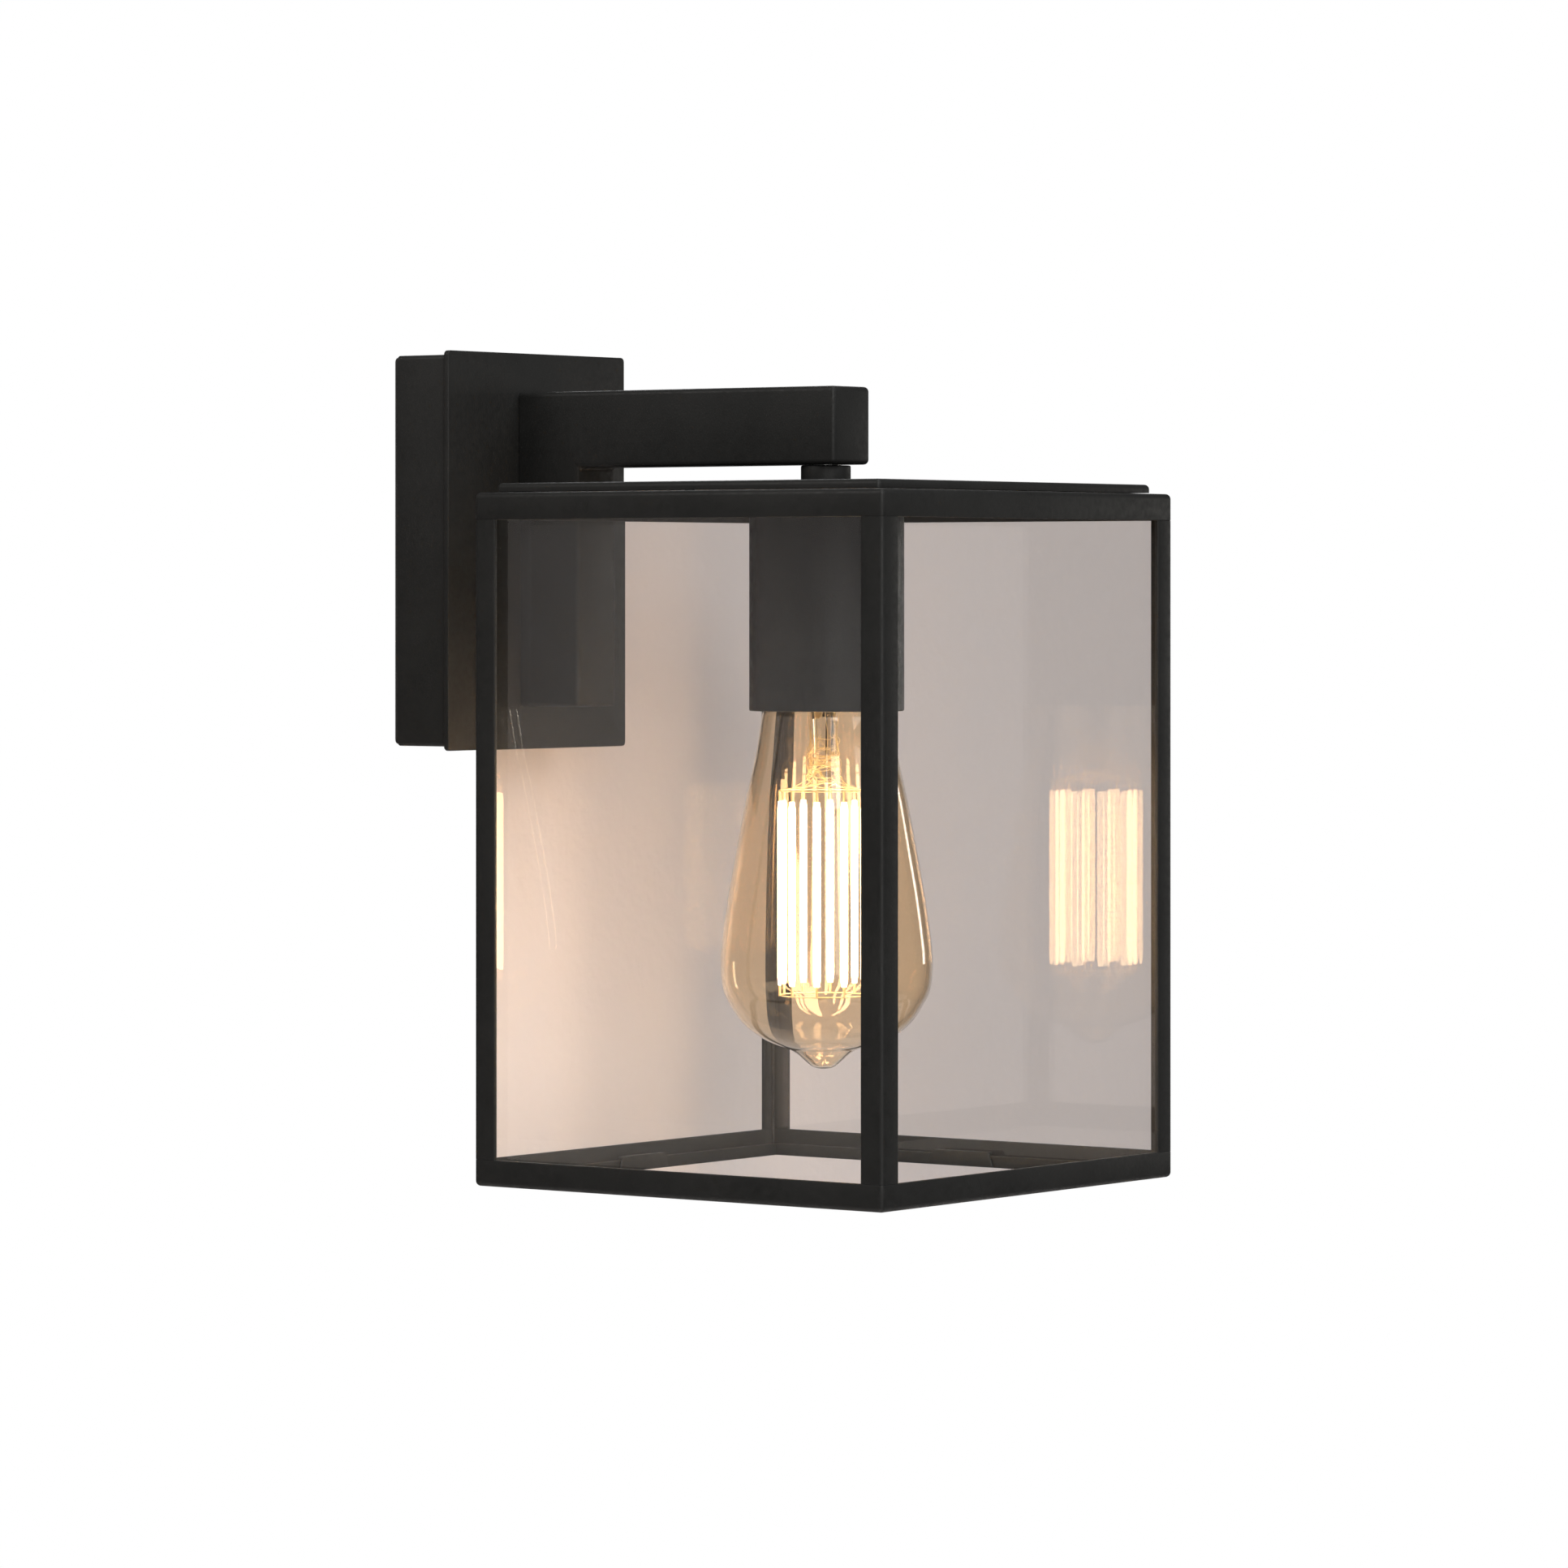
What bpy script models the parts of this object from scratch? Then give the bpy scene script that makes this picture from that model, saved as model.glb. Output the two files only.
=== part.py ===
"""Outdoor wall lantern: square glazed cage hung from an L-shaped arm on a wall plate.

Frame: origin at the centre of the wall face of the bracket, +Y into the wall,
-Y out towards the viewer, +X to the right, +Z up. The arm, the spacer, the
lampholder and the bulb share one vertical axis at y = AXIS_Y.
"""

import math

import bmesh
import bpy
from mathutils import Vector

MM = 0.001
GAP = 0.3 * MM

# Wall plate, canopy box and bracket
PLATE_WIDTH = 93.1 * MM
PLATE_HEIGHT = 130.3 * MM
PLATE_FRONT_Y = -24.0 * MM
PLATE_THICKNESS = 2.0 * MM
PLATE_CORNER = 1.5 * MM
CANOPY_INSET = 1.35 * MM
CANOPY_WALL = 1.2 * MM
CANOPY_FACE = 1.5 * MM
GASKET_THICKNESS = 1.2 * MM
GASKET_INSET = 0.6 * MM
GASKET_BREADTH = 2.2 * MM
BRACKET_THICKNESS = 1.5 * MM
BRACKET_WIDTH = 30.0 * MM
BRACKET_HALF_HEIGHT = 60.0 * MM
BRACKET_TAB_DEPTH = 15.0 * MM
WALL_SLOT_LEVELS = (-38.0 * MM, 34.0 * MM)
WALL_SLOT_HALF_LENGTH = 8.0 * MM
WALL_SLOT_HALF_HEIGHT = 2.6 * MM
CABLE_HOLE_RADIUS = 7.0 * MM
CABLE_HOLE_Z = -18.0 * MM
EARTH_SCREW_Z = 48.0 * MM
EARTH_SCREW_RADIUS = 2.0 * MM
FIXING_Y = -9.0 * MM
FIXING_RADIUS = 2.0 * MM
TERMINAL_LOW = (-15.0 * MM, -17.0 * MM, -57.0 * MM)
TERMINAL_HIGH = (15.0 * MM, -6.0 * MM, -44.0 * MM)
TERMINAL_POLES = (-10.0 * MM, 0.0, 10.0 * MM)
TERMINAL_ENTRY_DEPTH = 5.0 * MM
TERMINAL_WELL_DEPTH = 4.0 * MM

# Arm
ARM_WIDTH = 20.0 * MM
ARM_EDGE = 1.7 * MM
LEG_BOTTOM_Z = -51.1 * MM
LEG_FRONT_Y = -48.6 * MM
BEAM_TOP_Z = 52.2 * MM
BEAM_BOTTOM_Z = 27.3 * MM
BEAM_END_Y = -152.4 * MM
ARM_WALL = 2.5 * MM
ARM_BACK_WALL = 3.0 * MM
BEAM_FLOOR = 5.0 * MM
ARM_SCREW_Z = 30.0 * MM
ARM_SCREW_RADIUS = 2.5 * MM
GROMMET_HOLE = 6.3 * MM
GROMMET_BORE = 3.7 * MM
GROMMET_FLANGE = 8.5 * MM

# Hanging axis, spacer and threaded tube
AXIS_Y = -142.0 * MM
SPACER_RADIUS = 8.0 * MM
TUBE_RADIUS = 5.0 * MM
TUBE_BORE = 3.8 * MM
TUBE_TOP_Z = 34.0 * MM
TUBE_BOTTOM_Z = -3.0 * MM
NUT_RADIUS = 8.6 * MM
NUT_HEIGHT = 4.0 * MM

# Roof plate
ROOF_HALF = 75.0 * MM
ROOF_TOP_Z = 21.1 * MM
ROOF_EDGE = 1.6 * MM
ROOF_SCREW_REACH = 71.6 * MM
ROOF_SCREW_RADIUS = 1.5 * MM
ROOF_SCREW_HOLE_TOP_Z = 20.2 * MM

# Cage
CAGE_HALF = 80.0 * MM
CAGE_TOP_Z = 18.1 * MM
CAGE_BOTTOM_Z = -202.1 * MM
CAGE_SHEET = 1.5 * MM
CAGE_CORNER = 1.3 * MM
TOP_RAIL_HEIGHT = 8.6 * MM
TOP_FLANGE_DEPTH = 12.0 * MM
BOTTOM_RAIL_HEIGHT = 8.5 * MM
BOTTOM_LIP_HEIGHT = 3.9 * MM
BOTTOM_LIP_SHEET = 1.2 * MM
POST_WIDTH = 8.4 * MM
GLASS_THICKNESS = 3.0 * MM
GLASS_PLAY = 0.4 * MM
CLIP_LENGTH = 26.0 * MM
CLIP_TAPER = 4.0 * MM
CLIP_SHEET = 1.0 * MM

# Lampholder
CUP_RADIUS = 23.8 * MM
CUP_WALL = 1.2 * MM
CUP_TOP_SHEET = 1.5 * MM
CUP_BOTTOM_Z = -51.5 * MM
HOLDER_RADIUS = 19.5 * MM
HOLDER_BOTTOM_Z = -44.0 * MM
HOLDER_BORE = 14.4 * MM
HOLDER_SEAT_Z = -13.0 * MM
CONTACT_HOLE = 2.2 * MM
SHELL_RADIUS = 14.1 * MM
SHELL_BORE = 13.7 * MM
SHELL_TOP_Z = -20.0 * MM
SHELL_BOTTOM_Z = -42.0 * MM

# Screw-cap bulb
CAP_THREAD_MAJOR = 13.2 * MM
CAP_THREAD_MINOR = 12.1 * MM
CAP_THREAD_PITCH = 3.629 * MM
CAP_BORE = 11.4 * MM
CAP_TOP_Z = -24.3 * MM
CAP_BOTTOM_Z = -44.0 * MM
BULB_WALL = 0.8 * MM
FILAMENT_RING = 14.2 * MM
FILAMENT_RADIUS = 0.9 * MM
FILAMENT_COUNT = 10
FIRST_FILAMENT = math.radians(-44.4)
RING_WIRE = 0.45 * MM
FILAMENT_TOP_Z = -77.0 * MM
FILAMENT_BOTTOM_Z = -142.5 * MM

WIRE_RADIUS = 1.0 * MM

PLATE_BACK_Y = PLATE_FRONT_Y + PLATE_THICKNESS
CANOPY_FRONT_Y = PLATE_BACK_Y + GAP
CANOPY_RIM_Y = -GASKET_THICKNESS - GAP
CANOPY_HALF_X = PLATE_WIDTH / 2 - CANOPY_INSET
CANOPY_HALF_Z = PLATE_HEIGHT / 2 - CANOPY_INSET
GLASS_OUTER = CAGE_HALF - CAGE_SHEET - GAP
GLASS_INNER = GLASS_OUTER - GLASS_THICKNESS
LIP_OUTER = GLASS_INNER - GLASS_PLAY
LIP_INNER = LIP_OUTER - BOTTOM_LIP_SHEET
ROOF_BOTTOM_Z = CAGE_TOP_Z + GAP
TUBE_CLEARANCE = TUBE_RADIUS + GAP
# A cutter runs this far past the sheet that it pierces.
PAST = 1.0 * MM
AXIS_POINT = Vector((0.0, AXIS_Y, 0.0))


# ---------------------------------------------------------------- helpers

def clear_scene():
    for item in list(bpy.data.objects):
        bpy.data.objects.remove(item, do_unlink=True)


def make_material(name, colour, roughness, metallic):
    material = bpy.data.materials.new(name)
    material.use_nodes = True
    shader = material.node_tree.nodes["Principled BSDF"]
    shader.inputs["Base Color"].default_value = (*colour, 1.0)
    shader.inputs["Roughness"].default_value = roughness
    shader.inputs["Metallic"].default_value = metallic
    return material


def make_object(name, body, material):
    """Turn a bmesh into a named object with outward faces and one material."""
    bmesh.ops.recalc_face_normals(body, faces=body.faces)
    mesh = bpy.data.meshes.new(name)
    body.to_mesh(mesh)
    body.free()
    item = bpy.data.objects.new(name, mesh)
    bpy.context.scene.collection.objects.link(item)
    if material is not None:
        mesh.materials.append(material)
    return item


def smooth(item, angle=32.0):
    item.data.shade_smooth()
    item.data.set_sharp_from_angle(angle=math.radians(angle))
    return item


def prism(name, outline, low, high, place, material):
    """Extrude a closed outline between two levels; place(u, v, w) gives the point."""
    body = bmesh.new()
    floor = [body.verts.new(place(u, v, low)) for u, v in outline]
    roof = [body.verts.new(place(u, v, high)) for u, v in outline]
    body.faces.new(floor)
    body.faces.new(list(reversed(roof)))
    count = len(outline)
    for index in range(count):
        after = (index + 1) % count
        body.faces.new((floor[index], roof[index], roof[after], floor[after]))
    return make_object(name, body, material)


def along_x(u, v, w):
    return (w, u, v)


def along_y(u, v, w):
    return (u, w, v)


def along_z(u, v, w):
    return (u, v, w)


def rectangle(low_u, low_v, high_u, high_v):
    return [(low_u, low_v), (high_u, low_v), (high_u, high_v), (low_u, high_v)]


def rounded_rectangle(half_u, half_v, radius, steps=4):
    corners = ((1, 1, 0), (-1, 1, 90), (-1, -1, 180), (1, -1, 270))
    points = []
    for sign_u, sign_v, start in corners:
        centre = (sign_u * (half_u - radius), sign_v * (half_v - radius))
        for step in range(steps + 1):
            angle = math.radians(start + 90.0 * step / steps)
            points.append((centre[0] + radius * math.cos(angle), centre[1] + radius * math.sin(angle)))
    return points


def circle(radius, count=24, centre=(0.0, 0.0)):
    angles = [2 * math.pi * step / count for step in range(count)]
    return [(centre[0] + radius * math.cos(a), centre[1] + radius * math.sin(a)) for a in angles]


def box(name, low, high, material):
    outline = rectangle(low[0], low[1], high[0], high[1])
    return prism(name, outline, low[2], high[2], along_z, material)


def turned(name, profile, material, segments=32, centre=AXIS_POINT, about="Z", wave=None):
    """Turn a profile of (radius, level) points; it closes on itself or on the axis."""
    body = bmesh.new()
    rings = []
    for radius, level in profile:
        if radius == 0.0:
            rings.append([body.verts.new(axis_point(centre, about, 0.0, 0.0, level))])
            continue
        ring = []
        for step in range(segments):
            angle = 2 * math.pi * step / segments
            reach = radius + (wave(angle, radius, level) if wave else 0.0)
            ring.append(body.verts.new(axis_point(centre, about, reach, angle, level)))
        rings.append(ring)
    closed_on_axis = len(rings[0]) == 1 and len(rings[-1]) == 1
    pairs = list(zip(rings, rings[1:]))
    if not closed_on_axis:
        pairs.append((rings[-1], rings[0]))
    for first, second in pairs:
        for step in range(segments):
            after = (step + 1) % segments
            corners = (first[step % len(first)], first[after % len(first)],
                       second[after % len(second)], second[step % len(second)])
            body.faces.new(list(dict.fromkeys(corners)))
    return smooth(make_object(name, body, material))


def axis_point(centre, about, reach, angle, level):
    across = reach * math.cos(angle)
    aside = reach * math.sin(angle)
    if about == "Z":
        return (centre[0] + across, centre[1] + aside, centre[2] + level)
    return (centre[0] + across, centre[1] + level, centre[2] + aside)


def cut(item, *cutters):
    """Subtract the cutters from the item, keep the result as its mesh and drop them."""
    combine(item, "DIFFERENCE", cutters)


def join(item, *others):
    combine(item, "UNION", others)


def combine(item, operation, others):
    for other in others:
        modifier = item.modifiers.new(operation.lower(), "BOOLEAN")
        modifier.operation = operation
        modifier.solver = "EXACT"
        modifier.object = other
        apply_modifiers(item)
        bpy.data.objects.remove(other, do_unlink=True)


def apply_modifiers(item):
    bpy.context.view_layer.update()
    graph = bpy.context.evaluated_depsgraph_get()
    mesh = bpy.data.meshes.new_from_object(item.evaluated_get(graph))
    item.modifiers.clear()
    item.data = mesh


def round_edges(item, width, segments=3, angle=50.0):
    modifier = item.modifiers.new("rounded_edges", "BEVEL")
    modifier.width = width
    modifier.segments = segments
    modifier.limit_method = "ANGLE"
    modifier.angle_limit = math.radians(angle)
    apply_modifiers(item)
    smooth(item, 40.0)


def rod(name, start, end, radius, material, segments=12):
    """A plain round rod between two points on one axis."""
    start = Vector(start)
    run = Vector(end) - start
    side = run.orthogonal().normalized()
    other = run.normalized().cross(side)
    body = bmesh.new()
    loops = []
    for base in (start, start + run):
        loop = []
        for step in range(segments):
            angle = 2 * math.pi * step / segments
            loop.append(body.verts.new(base + radius * (math.cos(angle) * side + math.sin(angle) * other)))
        loops.append(loop)
        body.faces.new(loop)
    for step in range(segments):
        after = (step + 1) % segments
        body.faces.new((loops[0][step], loops[0][after], loops[1][after], loops[1][step]))
    return make_object(name, body, material)


def smooth_run(points, steps):
    """Points along a Catmull-Rom curve through the given ones."""
    knots = [Vector(point) for point in points]
    knots = [2 * knots[0] - knots[1]] + knots + [2 * knots[-1] - knots[-2]]
    run = []
    for first in range(len(knots) - 3):
        a, b, c, d = knots[first:first + 4]
        for step in range(steps):
            t = step / steps
            run.append(0.5 * (2 * b + (c - a) * t + (2 * a - 5 * b + 4 * c - d) * t ** 2
                              + (3 * b - a - 3 * c + d) * t ** 3))
    run.append(knots[-2])
    return run


# -------------------------------------------------------------- materials

BLACK_PAINT = make_material("black_powder_coat", (0.020, 0.019, 0.018), 0.55, 0.0)
ZINC = make_material("zinc_plated_steel", (0.62, 0.62, 0.60), 0.35, 1.0)
NICKEL = make_material("nickel_plated_brass", (0.70, 0.67, 0.60), 0.28, 1.0)
RUBBER = make_material("black_rubber", (0.025, 0.025, 0.025), 0.85, 0.0)
WHITE_PLASTIC = make_material("white_plastic", (0.80, 0.79, 0.75), 0.50, 0.0)
BLACK_PLASTIC = make_material("black_plastic", (0.018, 0.018, 0.018), 0.45, 0.0)
CLEAR_GLASS = make_material("clear_glass", (0.86, 0.90, 0.88), 0.03, 0.0)
AMBER_GLASS = make_material("amber_glass", (0.90, 0.66, 0.36), 0.03, 0.0)
FILAMENT = make_material("led_filament", (1.00, 0.80, 0.32), 0.50, 0.0)
BROWN_WIRE = make_material("brown_insulation", (0.13, 0.055, 0.025), 0.60, 0.0)
BLUE_WIRE = make_material("blue_insulation", (0.03, 0.10, 0.38), 0.60, 0.0)
GREEN_WIRE = make_material("green_insulation", (0.10, 0.30, 0.06), 0.60, 0.0)


# ------------------------------------------------------ wall side and arm

def pan_screw(name, tip, direction, shank_radius, shank_length, head_radius, head_height):
    """A pan-head screw with a hexagonal recess; direction runs from tip to head."""
    direction = Vector(direction)
    tip = Vector(tip)
    seat = tip + direction * shank_length
    crown = seat + direction * head_height
    item = rod(name, tip, seat + direction * (head_height / 2), shank_radius, ZINC, 12)
    join(item, rod("head", seat, crown, head_radius, ZINC, 16))
    recess = rod("recess", crown - direction * (head_height * 0.6), crown + direction * MM,
                 head_radius * 0.42, ZINC, 6)
    cut(item, recess)
    return smooth(item)


def build_wall_bracket():
    half = BRACKET_HALF_HEIGHT
    plate = -BRACKET_THICKNESS
    tab = -BRACKET_TAB_DEPTH
    inner = half - BRACKET_THICKNESS
    outline = [(0.0, -half), (0.0, half), (tab, half), (tab, inner),
               (plate, inner), (plate, -inner), (tab, -inner), (tab, -half)]
    half_width = BRACKET_WIDTH / 2
    bracket = prism("wall_bracket", outline, -half_width, half_width, along_x, ZINC)
    slot_end = WALL_SLOT_HALF_HEIGHT - 0.05 * MM
    holes = [circle(CABLE_HOLE_RADIUS, 28, (0.0, CABLE_HOLE_Z)),
             circle(EARTH_SCREW_RADIUS + GAP, 16, (0.0, EARTH_SCREW_Z))]
    for level in WALL_SLOT_LEVELS:
        slot = rounded_rectangle(WALL_SLOT_HALF_LENGTH, WALL_SLOT_HALF_HEIGHT, slot_end)
        holes.append([(u, v + level) for u, v in slot])
    for outline in holes:
        cut(bracket, prism("hole", outline, plate - PAST, PAST, along_y, None))
    cut_fixing_holes(bracket)


def cut_fixing_holes(item):
    """Upright holes for the canopy's fixing screws, in line through its top and bottom."""
    fixing = circle(FIXING_RADIUS + GAP, 16, (0.0, FIXING_Y))
    cut(item, prism("fixing_holes", fixing, -CANOPY_HALF_Z - PAST, CANOPY_HALF_Z + PAST, along_z, None))


def build_wall_gasket():
    outer, inner = [rounded_rectangle(CANOPY_HALF_X - inset, CANOPY_HALF_Z - inset, PLATE_CORNER)
                    for inset in (GASKET_INSET, GASKET_INSET + GASKET_BREADTH)]
    gasket = prism("wall_gasket", outer, -GASKET_THICKNESS, 0.0, along_y, RUBBER)
    cut(gasket, prism("window", inner, -GASKET_THICKNESS - PAST, PAST, along_y, None))


def cut_front_openings(item):
    """The wiring hole and the two arm-screw holes, shared by box and plate."""
    deepest = PLATE_FRONT_Y - ARM_BACK_WALL - PAST
    nearest = CANOPY_FRONT_Y + CANOPY_FACE + PAST
    cut(item, prism("wiring_hole", circle(GROMMET_HOLE), deepest, nearest, along_y, None))
    for level in (-ARM_SCREW_Z, ARM_SCREW_Z):
        hole = circle(ARM_SCREW_RADIUS + GAP, 16, (0.0, level))
        cut(item, prism("screw_hole", hole, deepest, nearest, along_y, None))


def build_canopy_box():
    shell = rounded_rectangle(CANOPY_HALF_X, CANOPY_HALF_Z, PLATE_CORNER)
    inner = rounded_rectangle(CANOPY_HALF_X - CANOPY_WALL, CANOPY_HALF_Z - CANOPY_WALL, PLATE_CORNER / 2)
    canopy = prism("canopy_box", shell, CANOPY_FRONT_Y, CANOPY_RIM_Y, along_y, BLACK_PAINT)
    cut(canopy, prism("hollow", inner, CANOPY_FRONT_Y + CANOPY_FACE, PAST, along_y, None))
    cut_fixing_holes(canopy)
    cut_front_openings(canopy)
    smooth(canopy)


def build_front_plate():
    outline = rounded_rectangle(PLATE_WIDTH / 2, PLATE_HEIGHT / 2, PLATE_CORNER)
    plate = prism("front_plate", outline, PLATE_FRONT_Y, PLATE_BACK_Y, along_y, BLACK_PAINT)
    round_edges(plate, 0.45 * MM, 2)
    cut_front_openings(plate)
    smooth(plate)


def build_canopy_screws():
    shank = 6.0 * MM
    for name, sign in (("canopy_screw_upper", 1), ("canopy_screw_lower", -1)):
        seat = CANOPY_HALF_Z + GAP
        tip = (0.0, FIXING_Y, sign * (seat - shank))
        pan_screw(name, tip, (0, 0, sign), FIXING_RADIUS, shank, 3.6 * MM, 1.2 * MM)


def build_terminal_block():
    """Three poles, each with a screw well in front and a wire entry on top."""
    block = box("terminal_block", TERMINAL_LOW, TERMINAL_HIGH, WHITE_PLASTIC)
    round_edges(block, 0.8 * MM, 2)
    front, top = TERMINAL_LOW[1], TERMINAL_HIGH[2]
    middle_y = (TERMINAL_LOW[1] + TERMINAL_HIGH[1]) / 2
    middle_z = (TERMINAL_LOW[2] + TERMINAL_HIGH[2]) / 2
    for across in TERMINAL_POLES:
        well = circle(2.0 * MM, 14, (across, middle_z))
        cut(block, prism("screw_well", well, front - PAST, front + TERMINAL_WELL_DEPTH, along_y, None))
        entry = circle(WIRE_RADIUS + 0.5 * MM, 14, (across, middle_y))
        cut(block, prism("wire_entry", entry, top - TERMINAL_ENTRY_DEPTH, top + PAST, along_z, None))
    smooth(block)


def build_earth_screw():
    tip = (0.0, -0.4 * MM, EARTH_SCREW_Z)
    pan_screw("earth_screw", tip, (0, -1, 0), EARTH_SCREW_RADIUS, 1.4 * MM, 3.6 * MM, 2.2 * MM)


def build_cable_grommet():
    """A sleeve through the wall plate and the arm, with a flange inside the canopy."""
    sleeve = GROMMET_HOLE - GAP
    front = PLATE_FRONT_Y - 2.6 * MM
    seat = CANOPY_FRONT_Y + CANOPY_FACE + GAP
    back = seat + 1.5 * MM
    profile = [(GROMMET_BORE, back), (GROMMET_BORE, front), (sleeve, front),
               (sleeve, seat), (GROMMET_FLANGE, seat), (GROMMET_FLANGE, back)]
    turned("cable_grommet", profile, RUBBER, 28, Vector((0, 0, 0)), "Y")


def build_arm():
    outer = [(PLATE_FRONT_Y - GAP, LEG_BOTTOM_Z), (LEG_FRONT_Y, LEG_BOTTOM_Z),
             (LEG_FRONT_Y, BEAM_BOTTOM_Z), (BEAM_END_Y, BEAM_BOTTOM_Z),
             (BEAM_END_Y, BEAM_TOP_Z), (PLATE_FRONT_Y - GAP, BEAM_TOP_Z)]
    arm = prism("arm_bracket", outer, -ARM_WIDTH / 2, ARM_WIDTH / 2, along_x, BLACK_PAINT)
    round_edges(arm, ARM_EDGE, 3)
    back = PLATE_FRONT_Y - ARM_BACK_WALL
    front = LEG_FRONT_Y + ARM_WALL
    floor = BEAM_BOTTOM_Z + BEAM_FLOOR
    roof = BEAM_TOP_Z - ARM_WALL
    end = BEAM_END_Y + ARM_BACK_WALL
    inner = [(back, LEG_BOTTOM_Z + ARM_BACK_WALL), (front, LEG_BOTTOM_Z + ARM_BACK_WALL),
             (front, floor), (end, floor), (end, roof), (back, roof)]
    half = ARM_WIDTH / 2 - ARM_WALL
    cut(arm, prism("hollow", inner, -half, half, along_x, None))
    tube_hole = circle(TUBE_CLEARANCE, 24, (0.0, AXIS_Y))
    cut(arm, prism("tube_hole", tube_hole, BEAM_BOTTOM_Z - PAST, floor + PAST, along_z, None))
    cut_front_openings(arm)
    smooth(arm, 40.0)


def build_arm_screws():
    shank = 6.6 * MM
    for name, level in (("arm_screw_upper", ARM_SCREW_Z), ("arm_screw_lower", -ARM_SCREW_Z)):
        seat = CANOPY_FRONT_Y + CANOPY_FACE + GAP
        tip = (0.0, seat - shank, level)
        pan_screw(name, tip, (0, 1, 0), ARM_SCREW_RADIUS, shank, 4.4 * MM, 2.6 * MM)


def ring_profile(bore, radius, low, high, ease=0.0):
    """A square-cut ring; ease rounds off its outer edges."""
    if ease == 0.0:
        return [(bore, high), (radius, high), (radius, low), (bore, low)]
    return [(bore, high), (radius - ease, high), (radius - ease * 0.3, high - ease * 0.3),
            (radius, high - ease), (radius, low + ease), (radius - ease * 0.3, low + ease * 0.3),
            (radius - ease, low), (bore, low)]


def build_spacer_and_tube():
    spacer = ring_profile(TUBE_CLEARANCE, SPACER_RADIUS, ROOF_TOP_Z + GAP, BEAM_BOTTOM_Z - GAP, 0.4 * MM)
    turned("arm_spacer", spacer, BLACK_PAINT, 24)
    turned("threaded_tube", ring_profile(TUBE_BORE, TUBE_RADIUS, TUBE_BOTTOM_Z, TUBE_TOP_Z), ZINC, 24)
    top = CAGE_TOP_Z - CUP_TOP_SHEET - GAP
    low = top - NUT_HEIGHT
    nut = prism("tube_nut", circle(NUT_RADIUS, 6, (0.0, AXIS_Y)), low, top, along_z, ZINC)
    bore = circle(TUBE_CLEARANCE, 24, (0.0, AXIS_Y))
    cut(nut, prism("nut_bore", bore, low - PAST, top + PAST, along_z, None))
    smooth(nut)


def build_roof_plate():
    low = (-ROOF_HALF, AXIS_Y - ROOF_HALF, ROOF_BOTTOM_Z)
    high = (ROOF_HALF, AXIS_Y + ROOF_HALF, ROOF_TOP_Z)
    roof = box("roof_plate", low, high, BLACK_PAINT)
    round_upper_edges(roof, ROOF_EDGE)
    below = ROOF_BOTTOM_Z - PAST
    hole = circle(TUBE_CLEARANCE, 24, (0.0, AXIS_Y))
    cut(roof, prism("tube_hole", hole, below, ROOF_TOP_Z + PAST, along_z, None))
    for across, along in roof_screw_places():
        blind = circle(ROOF_SCREW_RADIUS + GAP, 14, (across, along))
        cut(roof, prism("screw_hole", blind, below, ROOF_SCREW_HOLE_TOP_Z, along_z, None))
    smooth(roof, 40.0)


def round_upper_edges(item, radius):
    """Round the rim of the top face of a box, and its upright corners."""
    body = bmesh.new()
    body.from_mesh(item.data)
    top = max(vertex.co.z for vertex in body.verts)
    edges = [edge for edge in body.edges if any(abs(v.co.z - top) < 1e-6 for v in edge.verts)]
    bmesh.ops.bevel(body, geom=edges, offset=radius, offset_type="OFFSET", segments=4, profile=0.5,
                    affect="EDGES", clamp_overlap=True)
    body.to_mesh(item.data)
    body.free()


def roof_screw_places():
    reach = ROOF_SCREW_REACH
    return ((reach, AXIS_Y), (-reach, AXIS_Y), (0.0, AXIS_Y + reach), (0.0, AXIS_Y - reach))


def build_roof_screws():
    shank = 3.6 * MM
    seat = CAGE_TOP_Z - CAGE_SHEET - GAP
    for number, (across, along) in enumerate(roof_screw_places(), 1):
        tip = (across, along, seat + shank)
        pan_screw(f"roof_screw_{number}", tip, (0, 0, -1), ROOF_SCREW_RADIUS, shank, 2.6 * MM, 1.8 * MM)


# ------------------------------------------------------- cage and glazing

SIDES = (("front", 0), ("right", 1), ("rear", 2), ("left", 3))


def side_place(turns):
    """Map (along, inward depth, height) on the front side onto the side turned by 90 degree steps."""
    def place(along, depth, height):
        reach = CAGE_HALF - depth
        across, out = ((along, -reach), (reach, along), (-along, reach), (-reach, -along))[turns]
        return (across, AXIS_Y + out, height)
    return place


def mitred_rail(name, profile, turns):
    """A rail whose (depth, height) section runs to the 45 degree mitres at both ends."""
    place = side_place(turns)
    trim = GAP / math.sqrt(2)
    body = bmesh.new()
    ends = []
    for sign in (-1, 1):
        ring = []
        for depth, height in profile:
            reach = CAGE_HALF - depth - trim
            ring.append(body.verts.new(place(sign * reach, depth, height)))
        ends.append(ring)
        body.faces.new(ring)
    count = len(profile)
    for index in range(count):
        after = (index + 1) % count
        body.faces.new((ends[0][index], ends[0][after], ends[1][after], ends[1][index]))
    return smooth(make_object(name, body, BLACK_PAINT), 40.0)


def quarter(centre, radius, start, steps=4):
    angles = [math.radians(start + 90.0 * step / steps) for step in range(steps + 1)]
    return [(centre[0] + radius * math.cos(a), centre[1] + radius * math.sin(a)) for a in angles]


def top_rail_profile():
    top = CAGE_TOP_Z
    low = top - TOP_RAIL_HEIGHT
    corner = quarter((CAGE_CORNER, top - CAGE_CORNER), CAGE_CORNER, 90)
    return [(TOP_FLANGE_DEPTH, top), *corner, (0.0, low), (CAGE_SHEET, low),
            (CAGE_SHEET, top - CAGE_SHEET), (TOP_FLANGE_DEPTH, top - CAGE_SHEET)]


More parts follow.
